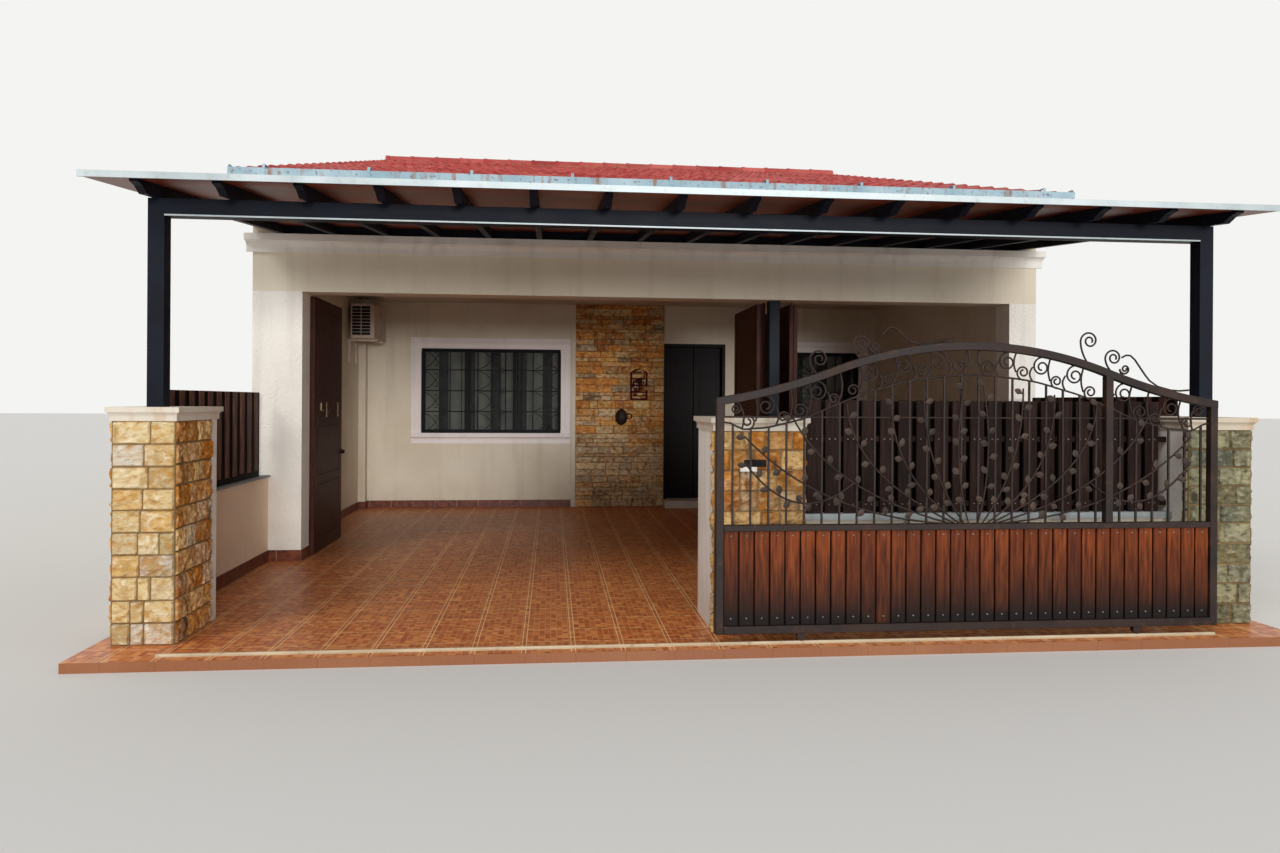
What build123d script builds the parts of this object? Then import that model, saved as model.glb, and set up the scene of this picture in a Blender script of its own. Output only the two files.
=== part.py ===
from build123d import *
import math
import os

# Single-storey terraced house with a walled car porch.
# Millimetres. X runs along the street, +Y goes into the lot, +Z is up.
# The origin is on the ground, in the middle of the lot, below the porch beam's face.

# Lot and house
LOT_WIDTH = 7640
HOUSE_DEPTH = 13400
PORCH_DEPTH = 4180
PARTY_WALL = 120
OUTER_WALL = 150
FLOOR_TOP = 60
INDOOR_RISE = 100
CEILING_HEIGHT = 2880
CEILING_BOARD = 40

# Porch front
PORCH_BEAM_THICKNESS = 270
LEFT_WING_WIDTH = 449
RIGHT_WING_WIDTH = 280
SOFFIT_HEIGHT = 2510
CORNICE_BOTTOM = 2870
CORNICE_HEIGHT = 160
CORNICE_REACH = 100
CORNICE_LIP = 25
CORNICE_END_REACH = 50
PORCH_POST_X = 1145
PORCH_POST_SIZE = 110
PORCH_POST_EDGE = 9

# Roof
ROOF_SLOPE = 15.5
EAVE_REACH = 530
EAVE_HEIGHT = 3405
ROOF_THICKNESS = 110
TILE_COURSE = 326
TILE_STEP = 22
RIDGE_TILE_WIDTH = 260
RIDGE_TILE_HEIGHT = 70
GUTTER_WIDTH = 140
GUTTER_HEIGHT = 150
GUTTER_SHEET = 6
GUTTER_CORNER = 35
SOFFIT_BOARD = 30

# Windows and their moulded surrounds
WINDOW_HEAD = 2234
WINDOW_SILL = 1047
PORCH_WINDOW_X = -1895
PORCH_WINDOW_WIDTH = 1950
SIDE_WINDOW_X = 2595
SIDE_WINDOW_WIDTH = 1700
REAR_WINDOW_X = -1900
REAR_WINDOW_WIDTH = 1950
PILASTER_WIDTH = 135
PILASTER_REACH = 35
FLUTE_COUNT = 2
FLUTE_SIDES = 6
FLUTE_RADIUS = 11
FLUTE_PITCH = 48
LINTEL_HEIGHT = 148
LINTEL_REACH = 70
SILL_HEIGHT = 148
SILL_REACH = 80
WINDOW_BAR = 45
GLASS = 6
GRILLE_BAR = 14
GRILLE_COLUMNS = 5
GRILLE_ROWS = 4
GRILLE_INSET = 12

# Wall behind the porch
STONE_PIER_X = -79
STONE_PIER_WIDTH = 1267
STONE_CLADDING = 30
CORNER_STRIP_WIDTH = 95
CORNER_STRIP_REACH = 150
PIER_STRIP_WIDTH = 62
SKIRTING_HEIGHT = 100
SKIRTING_THICKNESS = 10

# Entrance
DOORWAY_WIDTH = 900
DOORWAY_HEIGHT = 2340
DOOR_FRAME = 45
DOOR_LEAF = 40
DOOR_GAP = 5
MEETING_GAP = 12
HINGE_RADIUS = 7
HINGE_STANDOFF = 1
HINGE_CLEARANCE = 0.3
HINGE_KNUCKLE = 45
HINGE_SIDES = 8
HINGE_PLATE = 2
HINGE_PLATE_WIDTH = 25
HINGE_HEIGHTS = (250, 1150, 1900)
PANEL_RECESS = 8
PANEL_BORDER = 20
DOOR_STILE = 70
LOCK_RAIL_HEIGHT = 900
REAR_DOOR_X = 1500
STEP_DEPTH = 260
STEP_NOSING = 20

# Folding doors in the porch openings
FOLD_LEAF_WIDTH = 1120
FOLD_LEAF_THICKNESS = 38
FOLD_LEAF_GAP = 6
FOLD_HINGE_GAP = 10
FOLD_HINGE_WIDTH = 16
FOLD_HINGE_LENGTH = 90
FOLD_FLOOR_GAP = 12
FOLD_HANGER_LAP = 80
FOLD_STILE = 110
FOLD_PANEL_SHARES = ((0.05, 0.27), (0.30, 0.50), (0.61, 0.96))
FOLD_HINGE_SHARES = (0.08, 0.55, 0.92)
PULL_SPAN = 120
PULL_REACH = 38
PULL_BAR = 12
PULL_HEIGHT = 1400
PULL_SHARES = (0.42, 0.85)

# Pieces on the porch walls
AIR_UNIT_WIDTH = 300
AIR_UNIT_DEPTH = 800
AIR_UNIT_HEIGHT = 440
AIR_UNIT_BOTTOM = 2300
AIR_UNIT_WALL_GAP = 70
AIR_UNIT_REAR_GAP = 30
AIR_UNIT_EDGE = 12
AIR_FAN_RADIUS = 175
AIR_FAN_SIDES = 20
AIR_FAN_DEPTH = 14
BRACKET_BAR = 30
PLAQUE_X = 191
PLAQUE_WIDTH = 250
PLAQUE_HEIGHT = 450
PLAQUE_BOTTOM = 1525
PLAQUE_THICKNESS = 28
PLAQUE_BORDER = 28
ORNAMENT_X = -58
ORNAMENT_HEIGHT = 1282
ORNAMENT_HALF_WIDTH = 85
ORNAMENT_HALF_HEIGHT = 115
ORNAMENT_THICKNESS = 45
ORNAMENT_SIDES = 14
RING_RADIUS = 46
RING_BORE = 28
RING_THICKNESS = 24
RING_HEIGHT = 1292
HOOK_BAR = 14
HOOK_HEIGHT = 70

# Front boundary
PILLAR_FRONT_Y = -2900
LEFT_PILLAR_INSET = 115
LEFT_PILLAR_WIDTH = 366
LEFT_PILLAR_DEPTH = 680
LEFT_PILLAR_HEIGHT = 1450
MIDDLE_PILLAR_X = 0
MIDDLE_PILLAR_WIDTH = 594
MIDDLE_PILLAR_DEPTH = 640
MIDDLE_PILLAR_HEIGHT = 1400
RIGHT_PILLAR_INSET = 79
RIGHT_PILLAR_WIDTH = 457
RIGHT_PILLAR_HEIGHT = 1415
CAP_HEIGHT = 85
CAP_REACH = 32
CAP_LIP = 12
LETTER_SLOT_WIDTH = 190
LETTER_SLOT_HEIGHT = 60
LETTER_SLOT_DEPTH = 200
LETTER_SLOT_BOTTOM = 1015
LOW_WALL_HEIGHT = 708
LOW_WALL_THICKNESS = 120
LOW_WALL_SETBACK = 180
COPING_HEIGHT = 42
COPING_REACH = 20
FENCE_TOP = 1520
FENCE_BOARD = 100
FENCE_PITCH = 130
FENCE_THICKNESS = 18
FENCE_RAIL = 40
FENCE_END_GAP = 60
SIDE_WALL_HEIGHT = 782
SIDE_COPING_HEIGHT = 18
SIDE_WALL_THICKNESS = 150
SIDE_FENCE_TOP = 1565
SIDE_FENCE_SETBACK = 145

# Canopy
CANOPY_FRONT_Y = -3090
CANOPY_PANEL = 24
CANOPY_POST = 100
CANOPY_POST_FRONT_Y = -2720
CANOPY_LEFT_POST_X = -3535
CANOPY_RIGHT_POST_X = 3549
CANOPY_BEAM_BOTTOM = 2655
CANOPY_BEAM_HEIGHT = 110
WALL_PLATE_WIDTH = 50
RAFTER_WIDTH = 50
RAFTER_DEPTH = 78
RAFTER_SPACING = 472
RAFTER_FRONT_GAP = 60
RAFTER_TAIL_LENGTH = 130
FASCIA_HEIGHT = 40
FASCIA_THICKNESS = 12

# Sliding gate
GATE_OVERHANG = 42
GATE_END_GAP = 27
GATE_OVERLAP = 6
GATE_SETBACK = 260
GATE_TUBE = 50
GATE_CORNER_HEIGHT = 1529
GATE_APEX_HEIGHT = 1892
GATE_TURN_INSET = 750
GATE_TURN_HEIGHT = 1726
GATE_BOTTOM = 66
GATE_MID_TOP = 740
GATE_MID_RAIL = 38
GATE_SIDE_BAY = 749
GATE_BAR = 12
GATE_BAR_PITCH = 113
GATE_ROD = 8
GATE_ROD_HEIGHT = 1410
GATE_BOARD_PITCH = 97
GATE_BOARD_GAP = 10
GATE_BOARD_THICKNESS = 16
BELL_DROP = 160
WHEEL_RADIUS = 24
WHEEL_WIDTH = 22
WHEEL_INSET = 548
CARRIER_WIDTH = 56
CARRIER_PLATE = 6
CARRIER_DROP = 30
TRACK_WIDTH = 30
TRACK_PLATE = 4
TRACK_BAR = 12
TRACK_GAP = 0.3
SLAB_BEYOND_TRACK = 85

# Scrolls and vines of the gate
SCROLL_BAND = 9
SCROLL_EYE_SHARE = 0.35
SCROLL_STEPS = 8
SCROLL_TURNS = 1.3
SCROLL_BITE = 8
UNDER_SCROLLS = ((180, 34, -1), (285, 46, 1), (480, 34, -1), (588, 46, 1), (826, 46, -1), (930, 34, 1))
TOP_GROUPS = (622, 2232)
TOP_SCROLLS = ((0, 60, -1), (144, 50, 1), (219, 36, 1))
TOP_STEM = ((182, 72), (234, 88), (294, 66), (354, 34), (414, 4), (474, 4), (534, 14), (654, 26))
VINE_BAND = 7
VINE_THICKNESS = 6
VINE_STEPS = 7
VINES = (
    ((30, 740), (150, 1150), (60, 1640)),
    ((60, 740), (330, 1100), (330, 1600)),
    ((90, 740), (560, 1050), (540, 1560)),
    ((120, 740), (800, 1050), (830, 1500)),
    ((150, 740), (950, 950), (1180, 1420)),
    ((180, 740), (1000, 790), (1480, 1290)),
    ((780, 1000), (1150, 690), (1480, 1130)),
)

# Shares that shape every moulding: where its cove starts and ends, and how far out it comes
COVE_START = 0.2
COVE_END = 0.62
COVE_REACH = 0.8

# Places worked out from the sizes above
HALF = LOT_WIDTH / 2
INNER = HALF - PARTY_WALL
LEFT_JAMB = -HALF + LEFT_WING_WIDTH
RIGHT_JAMB = HALF - RIGHT_WING_WIDTH
BACK_Y = PORCH_DEPTH
ROOM_Y = PORCH_DEPTH + OUTER_WALL
REAR_IN_Y = HOUSE_DEPTH - OUTER_WALL
CEILING_Z = FLOOR_TOP + CEILING_HEIGHT
SOFFIT_Z = FLOOR_TOP + SOFFIT_HEIGHT
CORNICE_Z = FLOOR_TOP + CORNICE_BOTTOM
CORNICE_TOP_Z = CORNICE_Z + CORNICE_HEIGHT
ROOM_FLOOR_Z = FLOOR_TOP + INDOOR_RISE
EAVE_Z = FLOOR_TOP + EAVE_HEIGHT
SLOPE = math.tan(math.radians(ROOF_SLOPE))
ROOF_STACK = ROOF_THICKNESS / math.cos(math.radians(ROOF_SLOPE))
RIDGE_Y = HOUSE_DEPTH / 2
SLOPE_RUN = RIDGE_Y + EAVE_REACH
RIDGE_Z = EAVE_Z + SLOPE_RUN * SLOPE
COURSE_COUNT = round(SLOPE_RUN / math.cos(math.radians(ROOF_SLOPE)) / TILE_COURSE)
COURSE_RUN = SLOPE_RUN / COURSE_COUNT
COURSE_DROP = TILE_STEP / math.cos(math.radians(ROOF_SLOPE))
HEAD_Z = FLOOR_TOP + WINDOW_HEAD
SILL_Z = FLOOR_TOP + WINDOW_SILL
PIER_LEFT = STONE_PIER_X - STONE_PIER_WIDTH / 2
PIER_RIGHT = STONE_PIER_X + STONE_PIER_WIDTH / 2
CLADDING_Y = BACK_Y - STONE_CLADDING
DOOR_RIGHT = PIER_RIGHT + DOORWAY_WIDTH
DOOR_HEAD_Z = FLOOR_TOP + DOORWAY_HEIGHT
DOOR_SILL_Z = ROOM_FLOOR_Z
LEFT_PILLAR = (-HALF + LEFT_PILLAR_INSET, -HALF + LEFT_PILLAR_INSET + LEFT_PILLAR_WIDTH)
MIDDLE_PILLAR = (MIDDLE_PILLAR_X, MIDDLE_PILLAR_X + MIDDLE_PILLAR_WIDTH)
RIGHT_PILLAR = (HALF - RIGHT_PILLAR_INSET - RIGHT_PILLAR_WIDTH, HALF - RIGHT_PILLAR_INSET)
LEFT_PILLAR_Y = (PILLAR_FRONT_Y, PILLAR_FRONT_Y + LEFT_PILLAR_DEPTH)
PILLAR_Y = (PILLAR_FRONT_Y, PILLAR_FRONT_Y + MIDDLE_PILLAR_DEPTH)
GATE_Y = PILLAR_FRONT_Y - GATE_SETBACK
GATE_LEFT_X = MIDDLE_PILLAR[0] - GATE_OVERHANG
GATE_LENGTH = MIDDLE_PILLAR[0] - LEFT_PILLAR[1] + GATE_OVERLAP - GATE_END_GAP
HALF_GATE = GATE_LENGTH / 2
STILE_X = GATE_LENGTH - GATE_SIDE_BAY
FRONT_Y = GATE_Y - TRACK_WIDTH / 2 - SLAB_BEYOND_TRACK
WHEEL_BOTTOM = FLOOR_TOP + TRACK_PLATE + TRACK_BAR + TRACK_GAP


def roof_underside(y):
    """Height of the roof's underside above a point y of the house."""
    return RIDGE_Z - abs(y - RIDGE_Y) * SLOPE


def block(x, y, z, mode=Mode.ADD):
    """A box between a low and a high limit on each axis."""
    with Locations((x[0], y[0], z[0])):
        Box(x[1] - x[0], y[1] - y[0], z[1] - z[0],
            align=(Align.MIN, Align.MIN, Align.MIN), mode=mode)


def panel(x, z, mode=Mode.ADD):
    """A rectangle of a sketch between a low and a high limit on each axis."""
    with Locations((x[0], z[0])):
        Rectangle(x[1] - x[0], z[1] - z[0], align=(Align.MIN, Align.MIN), mode=mode)


def around(centre, size):
    """The low and high limits of a size about its centre."""
    return centre - size / 2, centre + size / 2


def middle(limits):
    """The centre between a low and a high limit."""
    return (limits[0] + limits[1]) / 2


def grown(limits, reach):
    """Limits moved out by a reach at both ends."""
    return limits[0] - reach, limits[1] + reach


def spaced(limits, pitch):
    """Centres of the equal bays between two limits whose size comes nearest to a pitch."""
    count = max(1, round((limits[1] - limits[0]) / pitch))
    bay = (limits[1] - limits[0]) / count
    return [limits[0] + (index + 0.5) * bay for index in range(count)]


def street_plane(y):
    """A plane across the house that looks at the street, with X and Z as its axes."""
    return Plane.XZ.offset(-y)


def side_plane(x):
    """A plane along the house that looks to the right, with Y and Z as its axes."""
    return Plane.YZ.offset(x)


def moulding(y, z, lip, reach, rise):
    """Lines of a section that steps out from a wall in a lip, a cove and a flat crown."""
    cove_low = (y + lip, z + rise * COVE_START)
    cove_high = (y + reach * COVE_REACH, z + rise * COVE_END)
    bow = math.sqrt(0.5)
    cove_middle = (cove_high[0] + (cove_low[0] - cove_high[0]) * bow,
                   cove_low[1] + (cove_high[1] - cove_low[1]) * bow)
    Polyline((y, z + rise), (y, z), (y + lip, z), cove_low)
    ThreePointArc(cove_low, cove_middle, cove_high)
    Polyline(cove_high, (y + reach, z + rise * COVE_END), (y + reach, z + rise), (y, z + rise))


pieces = []


def keep(name, part):
    part.label = name
    pieces.append(part)


# Floors
with BuildPart() as porch_floor:
    block((-HALF, HALF), (FRONT_Y, BACK_Y), (0, FLOOR_TOP))
keep("porch_floor", porch_floor.part)

with BuildPart() as house_floor:
    block((-INNER, INNER), (ROOM_Y, REAR_IN_Y), (0, ROOM_FLOOR_Z))
keep("house_floor", house_floor.part)

with BuildPart() as door_step:
    block((PIER_RIGHT, DOOR_RIGHT), (BACK_Y - STEP_DEPTH, ROOM_Y), (FLOOR_TOP, DOOR_SILL_Z))
    step_nosing = door_step.edges().filter_by(Axis.X).group_by(Axis.Y)[0].sort_by(Axis.Z)[-1]
    fillet(step_nosing, STEP_NOSING)
keep("door_step", door_step.part)

# Party walls, one on each lot line, up to the underside of the roof
with BuildPart() as party_walls:
    for wall_x in (-HALF, INNER):
        with BuildSketch(side_plane(wall_x)):
            with BuildLine():
                Polyline(
                    (PORCH_BEAM_THICKNESS, FLOOR_TOP), (BACK_Y, FLOOR_TOP), (BACK_Y, 0),
                    (HOUSE_DEPTH, 0), (HOUSE_DEPTH, roof_underside(HOUSE_DEPTH)),
                    (RIDGE_Y, RIDGE_Z),
                    (PORCH_BEAM_THICKNESS, roof_underside(PORCH_BEAM_THICKNESS)),
                    close=True)
            make_face()
        extrude(amount=PARTY_WALL)
keep("party_walls", party_walls.part)

# Porch front: wing walls, beam with the wall above it, cornice and steel post
with BuildPart() as wing_walls:
    block((-HALF, LEFT_JAMB), (0, PORCH_BEAM_THICKNESS), (FLOOR_TOP, SOFFIT_Z))
    block((RIGHT_JAMB, HALF), (0, PORCH_BEAM_THICKNESS), (FLOOR_TOP, SOFFIT_Z))
keep("wing_walls", wing_walls.part)

with BuildPart() as porch_beam:
    with BuildSketch(side_plane(-HALF)):
        with BuildLine():
            Polyline(
                (0, SOFFIT_Z), (PORCH_BEAM_THICKNESS, SOFFIT_Z),
                (PORCH_BEAM_THICKNESS, roof_underside(PORCH_BEAM_THICKNESS)),
                (0, roof_underside(0)), close=True)
        make_face()
    extrude(amount=LOT_WIDTH)
keep("porch_beam", porch_beam.part)

with BuildPart() as cornice:
    with BuildSketch(side_plane(-HALF - CORNICE_END_REACH)):
        with BuildLine():
            moulding(0, CORNICE_Z, -CORNICE_LIP, -CORNICE_REACH, CORNICE_HEIGHT)
        make_face()
    extrude(amount=LOT_WIDTH + 2 * CORNICE_END_REACH)
keep("cornice", cornice.part)

with BuildPart() as porch_post:
    block(around(PORCH_POST_X, PORCH_POST_SIZE),
          around(PORCH_BEAM_THICKNESS / 2, PORCH_POST_SIZE), (FLOOR_TOP, SOFFIT_Z))
    fillet(porch_post.edges().filter_by(Axis.Z), PORCH_POST_EDGE)
keep("porch_post", porch_post.part)

# House front wall behind the porch, with its windows, corner strips and doorway
with BuildPart() as window_wall_left:
    block((-INNER, PIER_LEFT), (BACK_Y, ROOM_Y), (0, CEILING_Z))
    block(around(PORCH_WINDOW_X, PORCH_WINDOW_WIDTH), (BACK_Y, ROOM_Y), (SILL_Z, HEAD_Z),
          mode=Mode.SUBTRACT)
    block((-INNER, -INNER + CORNER_STRIP_WIDTH), (BACK_Y - CORNER_STRIP_REACH, BACK_Y),
          (FLOOR_TOP, CEILING_Z))
    block((PIER_LEFT - PIER_STRIP_WIDTH, PIER_LEFT), (CLADDING_Y, BACK_Y), (FLOOR_TOP, CEILING_Z))
keep("window_wall_left", window_wall_left.part)

with BuildPart() as window_wall_right:
    block((DOOR_RIGHT, INNER), (BACK_Y, ROOM_Y), (0, CEILING_Z))
    block(around(SIDE_WINDOW_X, SIDE_WINDOW_WIDTH), (BACK_Y, ROOM_Y), (SILL_Z, HEAD_Z),
          mode=Mode.SUBTRACT)
keep("window_wall_right", window_wall_right.part)

with BuildPart() as stone_clad_pier:
    block((PIER_LEFT, PIER_RIGHT), (BACK_Y, ROOM_Y), (0, CEILING_Z))
    block((PIER_LEFT, PIER_RIGHT), (CLADDING_Y, BACK_Y), (FLOOR_TOP, CEILING_Z))
keep("stone_clad_pier", stone_clad_pier.part)

with BuildPart() as door_head_wall:
    block((PIER_RIGHT, DOOR_RIGHT), (BACK_Y, ROOM_Y), (DOOR_HEAD_Z, CEILING_Z))
keep("door_head_wall", door_head_wall.part)

with BuildPart() as rear_wall:
    with BuildSketch(side_plane(-INNER)):
        with BuildLine():
            Polyline(
                (REAR_IN_Y, 0), (HOUSE_DEPTH, 0), (HOUSE_DEPTH, roof_underside(HOUSE_DEPTH)),
                (REAR_IN_Y, roof_underside(REAR_IN_Y)), close=True)
        make_face()
    extrude(amount=2 * INNER)
    block(around(REAR_WINDOW_X, REAR_WINDOW_WIDTH), (REAR_IN_Y, HOUSE_DEPTH), (SILL_Z, HEAD_Z),
          mode=Mode.SUBTRACT)
    block(around(REAR_DOOR_X, DOORWAY_WIDTH), (REAR_IN_Y, HOUSE_DEPTH), (DOOR_SILL_Z, DOOR_HEAD_Z),
          mode=Mode.SUBTRACT)
keep("rear_wall", rear_wall.part)

with BuildPart() as ceilings:
    block((-INNER, INNER), (PORCH_BEAM_THICKNESS, REAR_IN_Y),
          (CEILING_Z, CEILING_Z + CEILING_BOARD))
keep("ceilings", ceilings.part)

# Windows: each row is centre x, width, outer face y and the way the outer face looks
WINDOWS = (
    (PORCH_WINDOW_X, PORCH_WINDOW_WIDTH, BACK_Y, -1),
    (SIDE_WINDOW_X, SIDE_WINDOW_WIDTH, BACK_Y, -1),
    (REAR_WINDOW_X, REAR_WINDOW_WIDTH, HOUSE_DEPTH, 1),
)


def layer_back(face_y, side, depth, thickness):
    """The greatest y of a layer whose middle lies at a depth behind a wall's outer face."""
    return face_y - side * depth + thickness / 2


# A fluted pilaster at each side, a moulded lintel above and a moulded sill below
with BuildPart() as window_surrounds:
    for centre, width, face_y, side in WINDOWS:
        pilaster_face = face_y + side * PILASTER_REACH
        with BuildSketch(Plane.XY.offset(SILL_Z)):
            for edge in (-1, 1):
                jamb = centre + edge * (width + PILASTER_WIDTH) / 2
                panel(around(jamb, PILASTER_WIDTH), sorted((face_y, pilaster_face)))
                flutes = [(jamb + (index - (FLUTE_COUNT - 1) / 2) * FLUTE_PITCH, pilaster_face)
                          for index in range(FLUTE_COUNT)]
                with Locations(*flutes):
                    RegularPolygon(FLUTE_RADIUS, FLUTE_SIDES, mode=Mode.SUBTRACT)
        extrude(amount=HEAD_Z - SILL_Z)
        span = width + 2 * PILASTER_WIDTH
        with BuildSketch(side_plane(centre - span / 2)):
            with BuildLine():
                moulding(face_y, HEAD_Z, side * PILASTER_REACH, side * LINTEL_REACH, LINTEL_HEIGHT)
            make_face()
            with BuildLine():
                moulding(face_y, SILL_Z - SILL_HEIGHT, side * PILASTER_REACH / 2, side * SILL_REACH,
                         SILL_HEIGHT)
            make_face()
        extrude(amount=span)
keep("window_surrounds", window_surrounds.part)

with BuildPart() as window_frames:
    for centre, width, face_y, side in WINDOWS:
        pane = (width - 4 * WINDOW_BAR) / 3
        with BuildSketch(street_plane(layer_back(face_y, side, OUTER_WALL / 2, WINDOW_BAR))):
            panel(around(centre, width), (SILL_Z, HEAD_Z))
            for step in (-1, 0, 1):
                panel(around(centre + step * (pane + WINDOW_BAR), pane),
                      (SILL_Z + WINDOW_BAR, HEAD_Z - WINDOW_BAR), mode=Mode.SUBTRACT)
        extrude(amount=WINDOW_BAR)
keep("window_frames", window_frames.part)

with BuildPart() as window_glass:
    for centre, width, face_y, side in WINDOWS:
        pane = (width - 4 * WINDOW_BAR) / 3
        with BuildSketch(street_plane(layer_back(face_y, side, OUTER_WALL / 2, GLASS))):
            for step in (-1, 0, 1):
                panel(around(centre + step * (pane + WINDOW_BAR), pane),
                      (SILL_Z + WINDOW_BAR, HEAD_Z - WINDOW_BAR))
        extrude(amount=GLASS)
keep("window_glass", window_glass.part)

# Grilles of fused flat bars, set in the reveals in front of the frames
with BuildPart() as window_grilles:
    for centre, width, face_y, side in WINDOWS:
        height = HEAD_Z - SILL_Z
        grille_depth = GRILLE_INSET + GRILLE_BAR / 2
        column_step = (width - GRILLE_BAR) / GRILLE_COLUMNS
        row_step = (height - GRILLE_BAR) / GRILLE_ROWS
        columns = [centre + (index - GRILLE_COLUMNS / 2) * column_step
                   for index in range(GRILLE_COLUMNS + 1)]
        rows = [SILL_Z + GRILLE_BAR / 2 + index * row_step for index in range(GRILLE_ROWS + 1)]
        with BuildSketch(street_plane(layer_back(face_y, side, grille_depth, GRILLE_BAR))):
            with Locations(*[(bar_x, (SILL_Z + HEAD_Z) / 2) for bar_x in columns]):
                Rectangle(GRILLE_BAR, height)
            with Locations(*[(centre, bar_z) for bar_z in rows]):
                Rectangle(width, GRILLE_BAR)
        extrude(amount=GRILLE_BAR)
keep("window_grilles", window_grilles.part)

# Entrance: a frame in the doorway and two narrow leaves that open into the house
LEAF_Y = (ROOM_Y - DOOR_LEAF, ROOM_Y)
LEAF_Z = (DOOR_SILL_Z + DOOR_GAP, DOOR_HEAD_Z - DOOR_FRAME - DOOR_GAP)
DOOR_CLEAR = (PIER_RIGHT + DOOR_FRAME, DOOR_RIGHT - DOOR_FRAME)
LEAF_WIDTH = (DOOR_CLEAR[1] - DOOR_CLEAR[0] - 2 * DOOR_GAP - MEETING_GAP) / 2
LEFT_LEAF = (DOOR_CLEAR[0] + DOOR_GAP, DOOR_CLEAR[0] + DOOR_GAP + LEAF_WIDTH)
RIGHT_LEAF = (DOOR_CLEAR[1] - DOOR_GAP - LEAF_WIDTH, DOOR_CLEAR[1] - DOOR_GAP)
HINGE_Y = ROOM_Y + HINGE_STANDOFF + HINGE_RADIUS
LEAF_PANELS = (
    (LEAF_Z[0] + 2 * DOOR_STILE, LEAF_Z[0] + LOCK_RAIL_HEIGHT),
    (LEAF_Z[0] + LOCK_RAIL_HEIGHT + DOOR_STILE, LEAF_Z[1] - DOOR_STILE),
)


def sunk_panels(x, z_limits):
    """Rings of a sketch that leave a raised field inside each sunk panel."""
    for z in z_limits:
        panel(x, z)
        panel(grown(x, -PANEL_BORDER), grown(z, -PANEL_BORDER), mode=Mode.SUBTRACT)


with BuildPart() as hinge_knuckle:
    with BuildSketch():
        RegularPolygon(HINGE_RADIUS, HINGE_SIDES)
    extrude(amount=HINGE_KNUCKLE)


def hinge_halves(hinge_x, side, rise):
    """Knuckles with their fixing plates, each a rise above the foot of its hinge."""
    feet = [LEAF_Z[0] + height + rise for height in HINGE_HEIGHTS]
    plate_x = hinge_x + side * HINGE_PLATE_WIDTH / 2
    with Locations(*[(plate_x, ROOM_Y, foot) for foot in feet]):
        Box(HINGE_PLATE_WIDTH, HINGE_PLATE, HINGE_KNUCKLE, align=(Align.CENTER, Align.MIN, Align.MIN))
    with Locations(*[(hinge_x, HINGE_Y, foot) for foot in feet]):
        add(hinge_knuckle.part)


LEFT_HINGE_X = DOOR_CLEAR[0] + DOOR_GAP / 2
RIGHT_HINGE_X = DOOR_CLEAR[1] - DOOR_GAP / 2

with BuildPart() as entrance_frame:
    block((PIER_RIGHT, DOOR_RIGHT), (BACK_Y, ROOM_Y), (DOOR_SILL_Z, DOOR_HEAD_Z))
    block(DOOR_CLEAR, (BACK_Y, ROOM_Y), (DOOR_SILL_Z, DOOR_HEAD_Z - DOOR_FRAME),
          mode=Mode.SUBTRACT)
    for hinge_x, side in ((LEFT_HINGE_X, -1), (RIGHT_HINGE_X, 1)):
        hinge_halves(hinge_x, side, 0)
keep("entrance_frame", entrance_frame.part)

# Each leaf has two sunk panels on both faces and carries the upper knuckle of every hinge
for leaf_name, leaf_x, hinge_x, side in (
        ("entrance_door_left", LEFT_LEAF, LEFT_HINGE_X, 1),
        ("entrance_door_right", RIGHT_LEAF, RIGHT_HINGE_X, -1)):
    with BuildPart() as entrance_leaf:
        block(leaf_x, LEAF_Y, LEAF_Z)
        for sunk_back in (LEAF_Y[0] + PANEL_RECESS, LEAF_Y[1]):
            with BuildSketch(street_plane(sunk_back)):
                sunk_panels(grown(leaf_x, -DOOR_STILE), LEAF_PANELS)
            extrude(amount=PANEL_RECESS, mode=Mode.SUBTRACT)
        hinge_halves(hinge_x, side, HINGE_KNUCKLE + HINGE_CLEARANCE)
    keep(leaf_name, entrance_leaf.part)

# Rear door, shut
with BuildPart() as rear_door:
    block(around(REAR_DOOR_X, DOORWAY_WIDTH), (REAR_IN_Y, HOUSE_DEPTH), (DOOR_SILL_Z, DOOR_HEAD_Z))
    with BuildSketch(street_plane(HOUSE_DEPTH)):
        for half in (-1, 1):
            half_x = REAR_DOOR_X + half * (DOORWAY_WIDTH / 2 - DOOR_STILE) / 2
            sunk_panels(around(half_x, DOORWAY_WIDTH / 2 - 2 * DOOR_STILE), LEAF_PANELS)
    extrude(amount=DOOR_FRAME, mode=Mode.SUBTRACT)
keep("rear_door", rear_door.part)

# Folding doors, two leaves folded back at each end of an opening and hung on the wall's back
FOLD_Z = (FLOOR_TOP + FOLD_FLOOR_GAP, SOFFIT_Z - FOLD_FLOOR_GAP)
FOLD_Y = (PORCH_BEAM_THICKNESS + FOLD_HINGE_GAP,
          PORCH_BEAM_THICKNESS + FOLD_HINGE_GAP + FOLD_LEAF_WIDTH)
FOLD_HEIGHT = FOLD_Z[1] - FOLD_Z[0]
STACK_WIDTH = 2 * FOLD_LEAF_THICKNESS + FOLD_LEAF_GAP


# One panelled leaf that stands along Y beside x = 0
with BuildPart() as fold_leaf:
    block((0, FOLD_LEAF_THICKNESS), FOLD_Y, FOLD_Z)
    fold_panels = [(FOLD_Z[0] + low * FOLD_HEIGHT, FOLD_Z[0] + high * FOLD_HEIGHT)
                   for low, high in FOLD_PANEL_SHARES]
    for sunk_x in (0, FOLD_LEAF_THICKNESS - PANEL_RECESS):
        with BuildSketch(side_plane(sunk_x)):
            sunk_panels(grown(FOLD_Y, -FOLD_STILE), fold_panels)
        extrude(amount=PANEL_RECESS, mode=Mode.SUBTRACT)


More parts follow.
